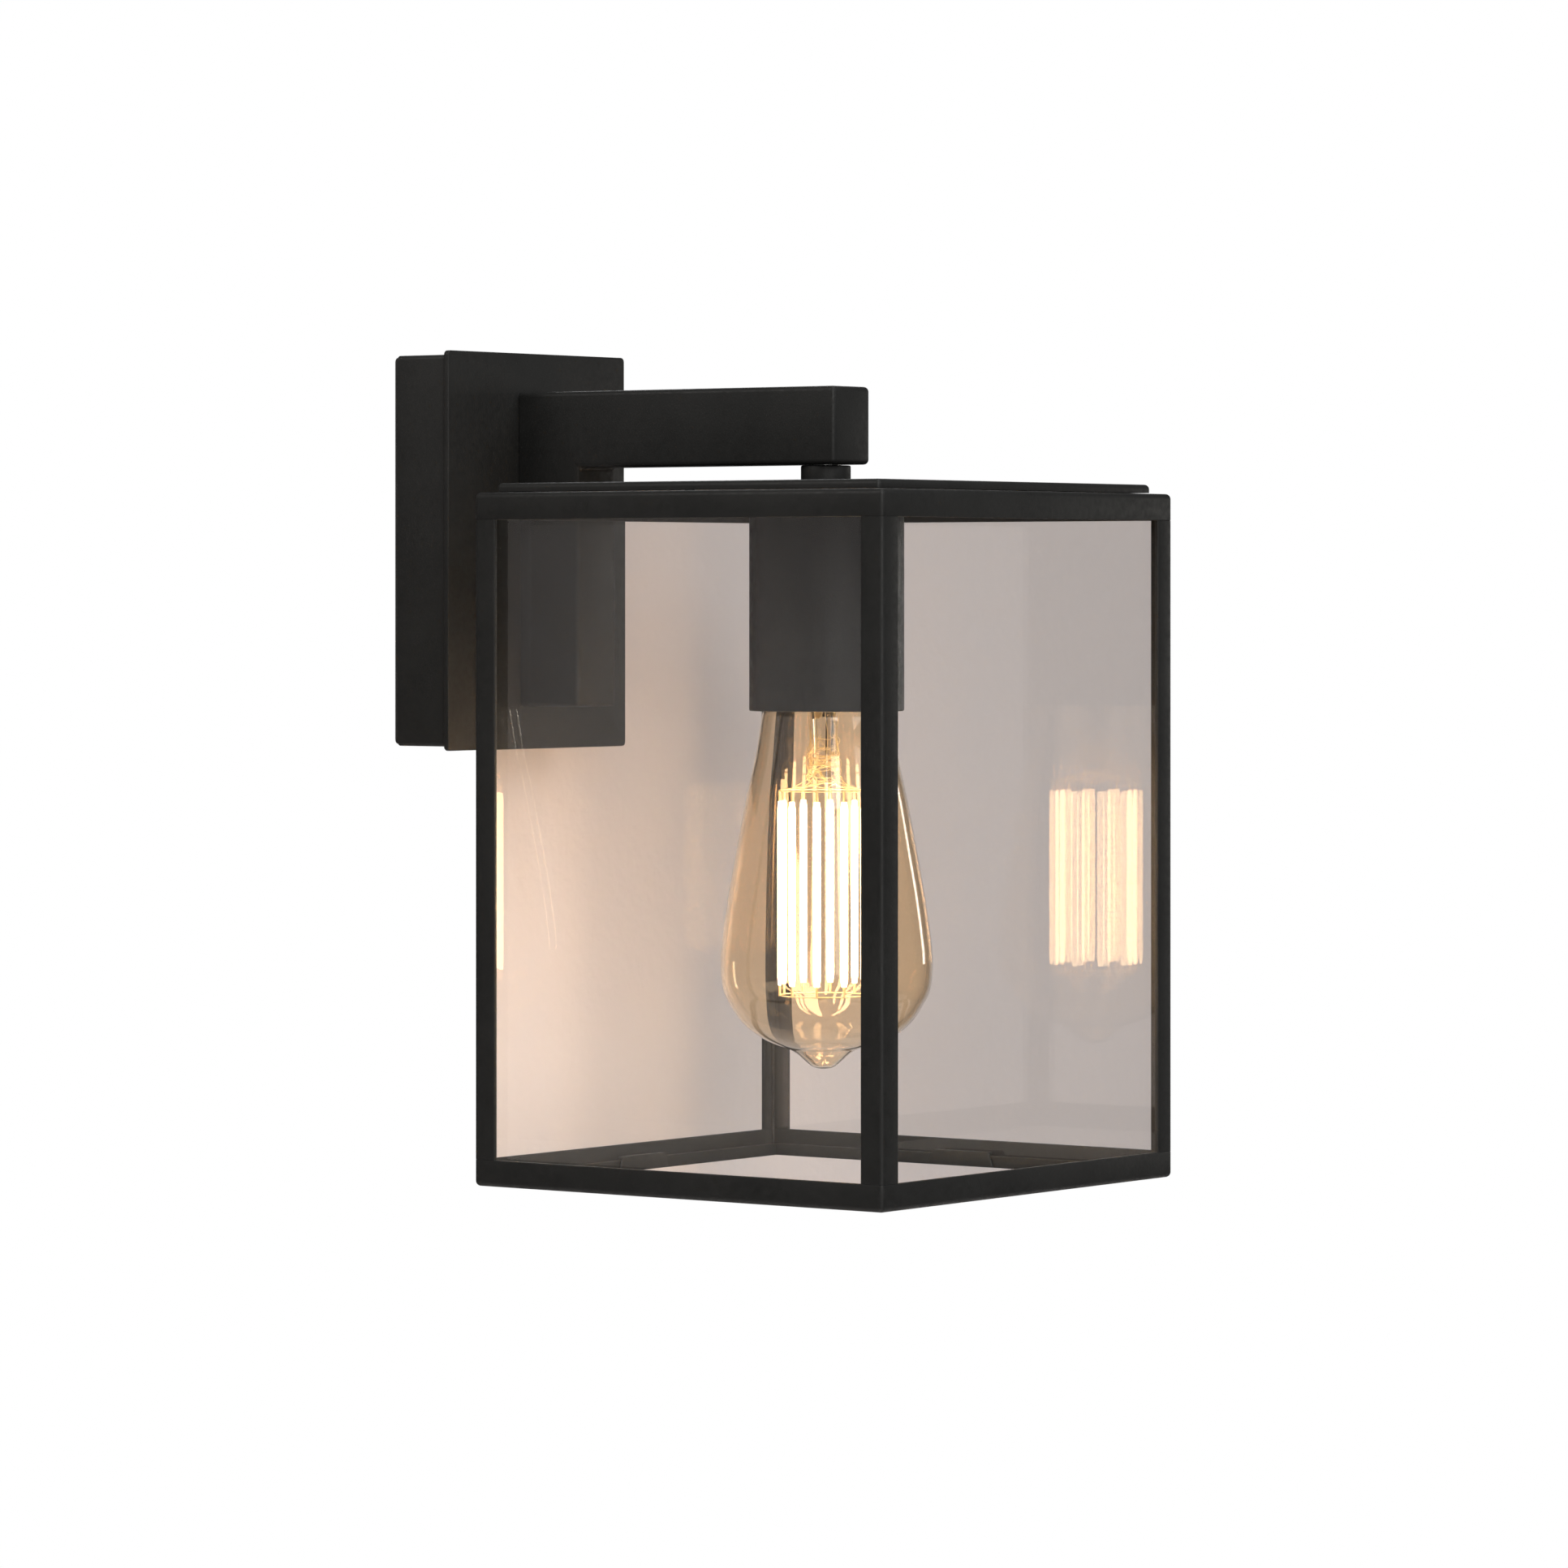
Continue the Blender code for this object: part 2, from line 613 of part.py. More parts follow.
def bottom_rail_profile():
    low = CAGE_BOTTOM_Z
    corner = quarter((CAGE_CORNER, low + CAGE_CORNER), CAGE_CORNER, 180)
    lip_outer = CAGE_HALF - LIP_OUTER
    lip_inner = CAGE_HALF - LIP_INNER
    base = low + CAGE_SHEET
    return [(0.0, low + BOTTOM_RAIL_HEIGHT), *corner, (lip_inner, low),
            (lip_inner, low + BOTTOM_LIP_HEIGHT), (lip_outer, low + BOTTOM_LIP_HEIGHT),
            (lip_outer, base), (CAGE_SHEET, base), (CAGE_SHEET, low + BOTTOM_RAIL_HEIGHT)]


def build_cage_side(side, turns):
    rail = mitred_rail(f"top_rail_{side}", top_rail_profile(), turns)
    across, along = roof_screw_places()[(3, 0, 2, 1)[turns]]
    hole = circle(ROOF_SCREW_RADIUS + GAP, 14, (across, along))
    cut(rail, prism("screw_hole", hole, CAGE_TOP_Z - CAGE_SHEET - PAST, CAGE_TOP_Z + PAST, along_z, None))
    smooth(rail, 40.0)
    mitred_rail(f"bottom_rail_{side}", bottom_rail_profile(), turns)
    build_glass_pane(side, turns)
    build_glass_clip(side, turns)


def build_glass_pane(side, turns):
    """Side panes run the full depth; the front and rear ones fit between them."""
    half = GLASS_OUTER if turns % 2 else GLASS_INNER - GAP
    low = CAGE_BOTTOM_Z + CAGE_SHEET + GLASS_PLAY
    high = CAGE_TOP_Z - CAGE_SHEET - GLASS_PLAY
    depths = (CAGE_HALF - GLASS_OUTER, CAGE_HALF - GLASS_INNER)
    place = side_place(turns)
    outline = rectangle(-half, depths[0], half, depths[1])
    prism(f"glass_pane_{side}", outline, low, high, place, CLEAR_GLASS)


def build_glass_clip(side, turns):
    """A sprung steel clip: a plate on the lip with slanted ends, hooked over onto the glass."""
    place = side_place(turns)
    face = CAGE_HALF - LIP_INNER + GAP
    low = CAGE_BOTTOM_Z + 0.2 * MM
    high = CAGE_BOTTOM_Z + BOTTOM_LIP_HEIGHT + 1.2 * MM
    hook = high - 0.7 * MM
    glass = CAGE_HALF - GLASS_INNER + GAP
    slant = CLIP_TAPER / (high - low)
    back = face + CLIP_SHEET
    section = [(face, low), (back, low), (back, high), (glass, high), (glass, hook), (face, hook)]
    body = bmesh.new()
    ends = []
    for sign in (-1, 1):
        ring = []
        for depth, height in section:
            reach = CLIP_LENGTH / 2 - (height - low) * slant / 2
            ring.append(body.verts.new(place(sign * reach, depth, height)))
        ends.append(ring)
        body.faces.new(ring)
    count = len(section)
    for index in range(count):
        after = (index + 1) % count
        body.faces.new((ends[0][index], ends[0][after], ends[1][after], ends[1][index]))
    make_object(f"glass_clip_{side}", body, BLACK_PAINT)


def build_corner_post(name, sign_x, sign_y):
    """An L-section post with a rounded outer corner."""
    reach = CAGE_HALF
    inner = reach - CAGE_SHEET
    far = reach - POST_WIDTH
    outer = quarter((reach - CAGE_CORNER, reach - CAGE_CORNER), CAGE_CORNER, 0)
    outline = [(reach, far), *outer, (far, reach), (far, inner), (inner, inner), (inner, far)]
    outline = [(sign_x * u, AXIS_Y + sign_y * v) for u, v in outline]
    low = CAGE_BOTTOM_Z + BOTTOM_RAIL_HEIGHT + GAP
    high = CAGE_TOP_Z - TOP_RAIL_HEIGHT - GAP
    smooth(prism(name, outline, low, high, along_z, BLACK_PAINT), 40.0)


def build_cage():
    for side, turns in SIDES:
        build_cage_side(side, turns)
    for depth_name, sign_y in (("front", -1), ("rear", 1)):
        for side_name, sign_x in (("left", -1), ("right", 1)):
            build_corner_post(f"corner_post_{depth_name}_{side_name}", sign_x, sign_y)


# ------------------------------------------------------------- lampholder

def build_lampholder():
    cup_top = CAGE_TOP_Z
    inside = CUP_RADIUS - CUP_WALL
    hole = TUBE_CLEARANCE
    ease = 0.4 * MM
    sheet = cup_top - CUP_TOP_SHEET
    cup = [(hole, cup_top), (CUP_RADIUS - ease, cup_top), (CUP_RADIUS, cup_top - ease),
           (CUP_RADIUS, CUP_BOTTOM_Z + ease), (CUP_RADIUS - ease, CUP_BOTTOM_Z),
           (inside, CUP_BOTTOM_Z), (inside, sheet), (hole, sheet)]
    turned("lampholder_cup", cup, BLACK_PAINT, 40)

    collar = 8.5 * MM
    body = [(hole, 8.0 * MM), (collar, 8.0 * MM), (collar, 2.0 * MM), (HOLDER_RADIUS - MM, 0.5 * MM),
            (HOLDER_RADIUS, -1.0 * MM), (HOLDER_RADIUS, HOLDER_BOTTOM_Z), (HOLDER_BORE, HOLDER_BOTTOM_Z),
            (HOLDER_BORE, HOLDER_SEAT_Z), (CONTACT_HOLE, HOLDER_SEAT_Z), (CONTACT_HOLE, -6.0 * MM),
            (hole, -6.0 * MM)]
    turned("lampholder_body", body, BLACK_PLASTIC, 28)
    shell = ring_profile(SHELL_BORE, SHELL_RADIUS, SHELL_BOTTOM_Z, SHELL_TOP_Z)
    turned("lampholder_shell", shell, NICKEL, 28)
    contact = [(0.0, -10.6 * MM), (1.5 * MM, -10.6 * MM), (1.5 * MM, -17.2 * MM), (5.0 * MM, -17.4 * MM),
               (5.0 * MM, -18.0 * MM), (3.5 * MM, -18.4 * MM), (0.0, -18.4 * MM)]
    turned("lampholder_contact", contact, NICKEL, 20)


# ------------------------------------------------------------------- bulb

def thread_wave(angle, radius, level):
    """Screw-thread height on the outer side of the cap, fading out at both ends."""
    if radius < CAP_THREAD_MINOR - 0.05 * MM:
        return 0.0
    fade = min(level - (CAP_BOTTOM_Z + 3.0 * MM), CAP_TOP_Z - 0.8 * MM - level) / (1.2 * MM)
    fade = min(max(fade, 0.0), 1.0)
    height = (CAP_THREAD_MAJOR - CAP_THREAD_MINOR) / 2
    phase = 2 * math.pi * level / CAP_THREAD_PITCH - angle
    return fade * height * (1 + math.cos(phase))


def build_bulb_cap():
    start = CAP_TOP_Z
    rows = 25
    outer = []
    for row in range(rows + 1):
        level = start + (CAP_BOTTOM_Z + 2.0 * MM - start) * row / rows
        outer.append((CAP_THREAD_MINOR, level))
    skirt = [(CAP_THREAD_MAJOR - 0.2 * MM, CAP_BOTTOM_Z + 1.4 * MM), (CAP_THREAD_MAJOR, CAP_BOTTOM_Z)]
    inner = [(CAP_BORE, CAP_BOTTOM_Z), (CAP_BORE, start)]
    turned("bulb_cap", [*outer, *skirt, *inner], NICKEL, 24, wave=thread_wave)
    insulator = [(0.0, -20.5 * MM), (5.0 * MM, -20.5 * MM), (8.5 * MM, -21.4 * MM), (11.2 * MM, -23.2 * MM),
                 (11.2 * MM, -24.0 * MM), (0.0, -24.0 * MM)]
    turned("bulb_insulator", insulator, BLACK_PLASTIC, 24)
    pip = [(0.0, -18.7 * MM), (2.5 * MM, -18.8 * MM), (4.2 * MM, -19.3 * MM), (4.6 * MM, -20.2 * MM),
           (0.0, -20.2 * MM)]
    turned("bulb_contact", pip, NICKEL, 20)
    board = [(0.0, -26.0 * MM), (9.5 * MM, -26.0 * MM), (9.5 * MM, -34.0 * MM), (0.0, -34.0 * MM)]
    turned("bulb_driver", board, WHITE_PLASTIC, 20)


def bulb_outline():
    """Outside of the envelope as (radius, level): neck, long teardrop, shoulder and sealed tip."""
    neck = [(11.0, -36.5), (11.0, -43.6), (12.0, -44.9), (14.8, -47.4), (17.8, -49.8), (19.5, -52.1)]
    drop = [(21.7, -65.5), (24.8, -79.5), (27.6, -94.5), (30.3, -109.5), (32.2, -122.5), (33.0, -131.9),
            (32.2, -140.5), (29.6, -146.0), (26.0, -151.2), (20.9, -155.4), (14.9, -158.4), (10.6, -159.8)]
    tip = [(8.2, -161.3), (5.9, -163.4), (3.6, -165.2), (1.6, -165.9), (0.0, -166.0)]
    return [(radius * MM, level * MM) for radius, level in neck + drop + tip]


def inset_outline(points, depth):
    """The same outline moved inwards by a wall thickness."""
    moved = []
    for index, (radius, level) in enumerate(points):
        before = points[max(index - 1, 0)]
        after = points[min(index + 1, len(points) - 1)]
        run = Vector((after[0] - before[0], after[1] - before[1])).normalized()
        moved.append((max(radius + run.y * depth, 0.0), level - run.x * depth))
    moved[-1] = (0.0, points[-1][1] + depth)
    return moved


def build_bulb_glass():
    outside = bulb_outline()
    inside = inset_outline(outside, BULB_WALL)
    inside[0] = (outside[0][0] - BULB_WALL, outside[0][1])
    body = bmesh.new()
    segments = 24
    angles = [2 * math.pi * step / segments for step in range(segments)]
    skins = []
    for outline in (outside, inside):
        rings = []
        for radius, level in outline:
            if radius < 0.01 * MM:
                rings.append([body.verts.new((0.0, AXIS_Y, level))])
                continue
            ring = [axis_point(AXIS_POINT, "Z", radius, angle, level) for angle in angles]
            rings.append([body.verts.new(point) for point in ring])
        skins.append(rings)
    pairs = [pair for rings in skins for pair in zip(rings, rings[1:])]
    pairs.append((skins[0][0], skins[1][0]))
    for first, second in pairs:
        for step in range(segments):
            after = (step + 1) % segments
            corners = (first[step % len(first)], first[after % len(first)],
                       second[after % len(second)], second[step % len(second)])
            body.faces.new(list(dict.fromkeys(corners)))
    smooth(make_object("bulb_glass", body, AMBER_GLASS), 60.0)


def build_bulb_stem():
    """Glass mount: a flare sealed in the neck, drawn down to a flat pinch and a pip."""
    profile = [(0.0, -38.0), (9.6, -38.0), (9.4, -40.0), (6.6, -45.0), (4.4, -50.0), (3.6, -56.0),
               (3.2, -66.0), (3.8, -71.0), (2.6, -74.0), (0.0, -75.0)]
    turned("bulb_stem", [(radius * MM, level * MM) for radius, level in profile], CLEAR_GLASS, 20)


def build_filament_cage():
    """Upright filaments welded between two wire rings, tied to the stem by four spokes."""
    cage = ring_of_wire("filament_cage", FILAMENT_TOP_Z)
    join(cage, ring_of_wire("lower_ring", FILAMENT_BOTTOM_Z))
    for number in range(FILAMENT_COUNT):
        angle = FIRST_FILAMENT + 2 * math.pi * number / FILAMENT_COUNT
        across = FILAMENT_RING * math.cos(angle)
        along = AXIS_Y + FILAMENT_RING * math.sin(angle)
        start = (across, along, FILAMENT_TOP_Z + 0.6 * MM)
        end = (across, along, FILAMENT_BOTTOM_Z - 0.6 * MM)
        join(cage, rod("filament", start, end, FILAMENT_RADIUS, FILAMENT, 8))
    for number in range(2):
        angle = math.pi * number / 2
        side = Vector((math.cos(angle), math.sin(angle), 0.0)) * FILAMENT_RING
        level = Vector((0.0, AXIS_Y, FILAMENT_TOP_Z))
        join(cage, rod("spoke", level - side, level + side, RING_WIRE, FILAMENT, 6))
    smooth(cage)


def ring_of_wire(name, level):
    section = [(FILAMENT_RING + RING_WIRE * math.cos(a), level + RING_WIRE * math.sin(a))
               for a in (2 * math.pi * step / 6 for step in range(6))]
    return turned(name, section, FILAMENT, 24)


# ------------------------------------------------------------------ wiring

def build_wire(name, route, material):
    """An insulated core along a smooth curve through the route's points."""
    data = bpy.data.curves.new(name, "CURVE")
    data.dimensions = "3D"
    data.bevel_depth = WIRE_RADIUS
    data.bevel_resolution = 2
    data.use_fill_caps = True
    points = smooth_run([[value * MM for value in point] for point in route], 2)
    spline = data.splines.new("POLY")
    spline.points.add(len(points) - 1)
    for slot, point in zip(spline.points, points):
        slot.co = (*point, 1.0)
    data.materials.append(material)
    item = bpy.data.objects.new(name, data)
    bpy.context.scene.collection.objects.link(item)


def build_lamp_wires():
    """Line and neutral run side by side from the block to the lampholder."""
    for name, entry, side, material in (("live_wire", -10.0, -1.7, BROWN_WIRE),
                                        ("neutral_wire", 0.0, 1.7, BLUE_WIRE)):
        middle = (entry + side) / 2
        route = [(entry, -11.5, -47.0), (entry, -11.5, -41.0), (middle, -11.0, -24.0), (side, -12.0, -8.0),
                 (side, -15.5, -1.6), (side, -20.0, 0.0), (side, -27.0, 0.0), (side, -33.0, 2.6),
                 (side, -36.3, 10.0), (side, -37.5, 24.0), (side, -42.0, 36.0), (side, -52.0, 40.6),
                 (side, -70.0, 41.2), (side, -95.0, 41.2), (side, -120.0, 41.4), (side, -133.0, 41.2),
                 (side, -139.6, 38.4), (side, -142.0, 32.0), (side, -142.0, 22.0), (side, -142.0, 8.0),
                 (side, -142.0, -4.5)]
        build_wire(name, route, material)


def build_earth_wire():
    route = [(10.0, -11.5, -47.0), (10.0, -11.5, -41.0), (12.6, -11.0, -24.0), (12.8, -10.0, 0.0),
             (12.4, -8.0, 24.0), (9.6, -4.6, 42.0), (4.9, -2.95, 48.0)]
    build_wire("earth_wire", route, GREEN_WIRE)


# ------------------------------------------------------------------- build

def main():
    clear_scene()
    build_wall_bracket()
    build_wall_gasket()
    build_canopy_box()
    build_front_plate()
    build_canopy_screws()
    build_terminal_block()
    build_earth_screw()
    build_cable_grommet()
    build_arm()
    build_arm_screws()
    build_spacer_and_tube()
    build_roof_plate()
    build_roof_screws()
    build_cage()
    build_lampholder()
    build_bulb_cap()
    build_bulb_glass()
    build_bulb_stem()
    build_filament_cage()
    build_lamp_wires()
    build_earth_wire()


main()
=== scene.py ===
"""Looks of the outdoor wall lantern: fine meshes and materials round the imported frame."""

import math
import random

import bmesh
import bpy
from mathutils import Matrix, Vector


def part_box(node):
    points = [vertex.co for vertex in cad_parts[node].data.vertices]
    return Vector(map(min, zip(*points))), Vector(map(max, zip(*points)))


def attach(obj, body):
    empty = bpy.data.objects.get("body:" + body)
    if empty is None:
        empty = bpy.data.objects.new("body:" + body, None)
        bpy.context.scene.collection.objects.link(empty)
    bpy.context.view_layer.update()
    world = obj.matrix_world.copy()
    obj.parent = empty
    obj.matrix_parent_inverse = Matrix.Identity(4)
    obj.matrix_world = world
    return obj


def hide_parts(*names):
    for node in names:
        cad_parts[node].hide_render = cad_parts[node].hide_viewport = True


MM = 0.001

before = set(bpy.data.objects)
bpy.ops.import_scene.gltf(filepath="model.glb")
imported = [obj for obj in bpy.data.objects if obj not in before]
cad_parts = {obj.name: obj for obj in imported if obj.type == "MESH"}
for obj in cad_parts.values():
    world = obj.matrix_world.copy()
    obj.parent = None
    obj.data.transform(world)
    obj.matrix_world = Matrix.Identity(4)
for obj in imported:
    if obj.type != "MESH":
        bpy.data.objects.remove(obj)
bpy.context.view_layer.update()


# ------------------------------------------------------- places from the frame

def span(*nodes):
    """Lowest and highest corner of several nodes together."""
    corners = [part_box(node) for node in nodes]
    low = Vector([min(corner[0][axis] for corner in corners) for axis in range(3)])
    high = Vector([max(corner[1][axis] for corner in corners) for axis in range(3)])
    return low, high


SIDES = ("front", "right", "rear", "left")
TOP_RAILS = [f"top_rail_{side}" for side in SIDES]
BOTTOM_RAILS = [f"bottom_rail_{side}" for side in SIDES]
POSTS = [f"corner_post_{depth}_{side}" for depth in ("front", "rear") for side in ("left", "right")]

CAGE_LOW, CAGE_HIGH = span(*TOP_RAILS, *BOTTOM_RAILS)
CAGE_HALF = (CAGE_HIGH.x - CAGE_LOW.x) / 2
CUP_LOW, CUP_HIGH = span("lampholder_cup")
AXIS_Y = (CUP_LOW.y + CUP_HIGH.y) / 2
CUP_RADIUS = (CUP_HIGH.x - CUP_LOW.x) / 2

# Thickness of the sheet metal, and the outer corners of the cage and of the wall plate.
SHEET = 1.5 * MM
CORNER = 1.7 * MM
PLATE_CORNER = 1.5 * MM
TUBE_HOLE_RADIUS = 5.3 * MM

# Gap that the CAD leaves between its solids, the smallest corner, and the tolerance of comparisons.
CAD_GAP = 0.3 * MM
SHARPEST = 0.02 * MM
TINY = 1e-6

# Edges of the carried CAD nodes, and the angles in degrees past which an edge counts as sharp.
EASED_EDGE = 0.15 * MM
SMOOTH_ANGLE = 35.0
SQUARE_ANGLE = 60.0


# ------------------------------------------------------------------- materials

class Shader:
    """A node material built round one Principled shader."""

    def __init__(self, name, colour, roughness, metallic=0.0):
        self.material = bpy.data.materials.new(name)
        self.material.use_nodes = True
        self.tree = self.material.node_tree
        self.principled = self.tree.nodes["Principled BSDF"]
        self.output = self.tree.nodes["Material Output"]
        self.set("Base Color", (*colour, 1.0))
        self.set("Roughness", roughness)
        self.set("Metallic", metallic)
        self.coordinates = self.node("ShaderNodeTexCoord").outputs["Object"]

    def node(self, kind, **values):
        made = self.tree.nodes.new(kind)
        for key, value in values.items():
            if key in made.inputs:
                made.inputs[key].default_value = value
            else:
                setattr(made, key, value)
        return made

    def link(self, start, end):
        self.tree.links.new(start, end)

    def set(self, key, value):
        self.principled.inputs[key].default_value = value

    def drive(self, source, key):
        self.link(source, self.principled.inputs[key])

    def noise(self, scale, detail=2.0, stretch=None):
        texture = self.node("ShaderNodeTexNoise", Scale=scale, Detail=detail)
        place = self.coordinates
        if stretch:
            mapping = self.node("ShaderNodeMapping", Scale=stretch)
            self.link(place, mapping.inputs["Vector"])
            place = mapping.outputs["Vector"]
        self.link(place, texture.inputs["Vector"])
        return texture.outputs["Fac"]

    def between(self, factor, low, high, start=0.3, end=0.7):
        """A value that runs from low to high as the factor runs from start to end."""
        spread = self.node("ShaderNodeMapRange")
        for key, value in (("From Min", start), ("From Max", end), ("To Min", low), ("To Max", high)):
            spread.inputs[key].default_value = value
        self.link(factor, spread.inputs["Value"])
        return spread.outputs["Result"]

    def tint(self, factor, low, high):
        """A colour that runs from low to high as the factor runs over its middle range."""
        ramp = self.node("ShaderNodeValToRGB")
        ramp.color_ramp.elements[0].position = 0.3
        ramp.color_ramp.elements[1].position = 0.7
        ramp.color_ramp.elements[0].color = (*low, 1.0)
        ramp.color_ramp.elements[1].color = (*high, 1.0)
        self.link(factor, ramp.inputs["Fac"])
        return ramp.outputs["Color"]

    def bump(self, *heights):
        """Bumps from (height, depth in metres) pairs, one on top of the other."""
        normal = None
        for height, depth in heights:
            step = self.node("ShaderNodeBump", Strength=1.0, Distance=depth)
            self.link(height, step.inputs["Height"])
            if normal is not None:
                self.link(normal, step.inputs["Normal"])
            normal = step.outputs["Normal"]
        self.drive(normal, "Normal")

    def let_lamps_through(self, tint):
        """Lamps shine through the glass by the usual shadow-ray mix."""
        path = self.node("ShaderNodeLightPath")
        clear = self.node("ShaderNodeBsdfTransparent", Color=(*tint, 1.0))
        mix = self.node("ShaderNodeMixShader")
        self.link(path.outputs["Is Shadow Ray"], mix.inputs["Fac"])
        self.link(self.principled.outputs["BSDF"], mix.inputs[1])
        self.link(clear.outputs["BSDF"], mix.inputs[2])
        self.link(mix.outputs["Shader"], self.output.inputs["Surface"])


def make_powder_coat():
    """Fine-textured black powder coat: a small grain over a slow orange peel."""
    shader = Shader("black_powder_coat", (0.0125, 0.0130, 0.0125), 0.5)
    cloud = shader.noise(45.0, 3.0)
    shader.drive(shader.tint(cloud, (0.0130, 0.0132, 0.0127), (0.0184, 0.0186, 0.0178)), "Base Color")
    shader.drive(shader.between(shader.noise(420.0, 2.0), 0.42, 0.60), "Roughness")
    shader.bump((shader.noise(1500.0, 3.0), 0.03 * MM), (shader.noise(260.0, 2.0), 0.025 * MM))
    shader.set("Specular IOR Level", 0.40)
    return shader.material


def make_metal(name, colour, dark, roughness, grain=(1.0, 1.0, 1.0), metallic=1.0):
    """Plated metal with fine grain and a slow change of tone."""
    shader = Shader(name, colour, roughness, metallic)
    shader.drive(shader.tint(shader.noise(90.0, 3.0), dark, colour), "Base Color")
    wear = shader.noise(900.0, 2.0, grain)
    shader.drive(shader.between(wear, roughness * 0.75, roughness * 1.3), "Roughness")
    shader.bump((shader.noise(1800.0, 2.0, grain), 0.012 * MM))
    return shader.material


def make_moulded(name, colour, dark, roughness, depth=0.02):
    """Moulded plastic or rubber with a fine matt grain."""
    shader = Shader(name, colour, roughness)
    shader.drive(shader.tint(shader.noise(120.0, 2.0), dark, colour), "Base Color")
    wear = shader.noise(700.0)
    shader.drive(shader.between(wear, roughness * 0.85, min(roughness * 1.15, 1.0)), "Roughness")
    shader.bump((shader.noise(1600.0, 2.0), depth * MM))
    return shader.material


def make_glass(name, colour, wave_scale, wave_depth, stretch=None):
    """Glass with the faint waviness of its making, tinted by its colour."""
    shader = Shader(name, colour, 0.0)
    shader.set("Transmission Weight", 1.0)
    shader.set("IOR", 1.47)
    shader.bump((shader.noise(wave_scale, 1.0, stretch), wave_depth * MM))
    shader.let_lamps_through(tuple(channel ** 0.5 for channel in colour))
    return shader.material


BEAD_PITCH = 1.15 * MM
BEAD_GLOW = (17.0, 36.0)


def make_filament():
    """A lit phosphor strip: a row of chips shows as brighter beads along its length."""
    shader = Shader("led_filament", (1.0, 0.72, 0.25), 0.45)
    split = shader.node("ShaderNodeSeparateXYZ")
    shader.link(shader.coordinates, split.inputs["Vector"])
    turn = shader.node("ShaderNodeMath", operation="MULTIPLY")
    turn.inputs[1].default_value = 2 * math.pi / BEAD_PITCH
    shader.link(split.outputs["Z"], turn.inputs[0])
    beads = shader.node("ShaderNodeMath", operation="SINE")
    shader.link(turn.outputs["Value"], beads.inputs[0])
    shader.set("Emission Color", (1.0, 0.73, 0.48, 1.0))
    shader.drive(shader.between(beads.outputs["Value"], *BEAD_GLOW, -1.0, 1.0), "Emission Strength")
    shader.bump((beads.outputs["Value"], 0.05 * MM))
    return shader.material


POWDER_COAT = make_powder_coat()
ZINC = make_metal("zinc_plate", (0.62, 0.62, 0.60), (0.45, 0.46, 0.45), 0.34)
NICKEL = make_metal("nickel_plate", (0.72, 0.69, 0.62), (0.55, 0.52, 0.46), 0.26, (1.0, 1.0, 6.0))
GOLD_WIRE = make_metal("gilt_wire", (1.0, 0.90, 0.62), (1.0, 0.78, 0.42), 0.32, metallic=0.3)
RUBBER = make_moulded("black_rubber", (0.030, 0.030, 0.029), (0.018, 0.018, 0.018), 0.80, 0.05)
WHITE_PLASTIC = make_moulded("white_plastic", (0.80, 0.79, 0.75), (0.72, 0.71, 0.66), 0.45)
BLACK_PLASTIC = make_moulded("black_plastic", (0.022, 0.022, 0.022), (0.014, 0.014, 0.014), 0.40)
BROWN = make_moulded("brown_insulation", (0.15, 0.06, 0.028), (0.11, 0.045, 0.02), 0.5)
BLUE = make_moulded("blue_insulation", (0.03, 0.11, 0.42), (0.02, 0.08, 0.33), 0.5)
GREEN = make_moulded("green_insulation", (0.12, 0.34, 0.06), (0.50, 0.52, 0.04), 0.5)
PANE_GLASS = make_glass("clear_glass", (0.975, 0.975, 0.97), 6.0, 0.02, (1.0, 1.0, 0.25))
BULB_GLASS = make_glass("amber_glass", (1.0, 0.88, 0.71), 60.0, 0.02)
STEM_GLASS = make_glass("stem_glass", (0.97, 0.96, 0.93), 200.0, 0.05)
FILAMENT = make_filament()

CAD_FINISHES = (
    (ZINC, ("wall_bracket", "earth_screw", "canopy_screw_upper", "canopy_screw_lower", "arm_screw_upper",
            "arm_screw_lower", "threaded_tube", "tube_nut", "roof_screw_1", "roof_screw_2", "roof_screw_3",
            "roof_screw_4")),
    (RUBBER, ("wall_gasket", "cable_grommet")),
    (WHITE_PLASTIC, ("terminal_block", "bulb_driver")),
    (BLACK_PLASTIC, ("lampholder_body", "bulb_insulator")),
    (NICKEL, ("lampholder_shell", "lampholder_contact", "bulb_contact")),
    (BROWN, ("live_wire",)),
    (BLUE, ("neutral_wire",)),
    (GREEN, ("earth_wire",)),
)


def finish_cad_nodes():
    """Give the carried CAD nodes their materials, smooth faces and eased edges."""
    for material, names in CAD_FINISHES:
        for name in names:
            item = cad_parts[name]
            item.data.materials.clear()
            item.data.materials.append(material)
            item.data.shade_smooth()
            item.data.set_sharp_from_angle(angle=math.radians(SMOOTH_ANGLE))
            bevel = item.modifiers.new("eased_edges", "BEVEL")
            bevel.width = EASED_EDGE
            bevel.segments = 2
            bevel.limit_method = "ANGLE"
            bevel.angle_limit = math.radians(SMOOTH_ANGLE)


# ---------------------------------------------------------------- mesh helpers

def add_piece(name, body, material, node_names, fixed_to="fixture",
              angle=SMOOTH_ANGLE):
    """Make a mesh object of the bmesh; it rides on a body and stands for its CAD nodes."""
    bmesh.ops.recalc_face_normals(body, faces=body.faces)
    mesh = bpy.data.meshes.new(name)
    body.to_mesh(mesh)
    body.free()
    mesh.materials.append(material)
    mesh.shade_smooth()
    mesh.set_sharp_from_angle(angle=math.radians(angle))
    piece = bpy.data.objects.new(name, mesh)
    bpy.context.scene.collection.objects.link(piece)
    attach(piece, fixed_to)
    if node_names:
        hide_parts(*node_names)
    return piece


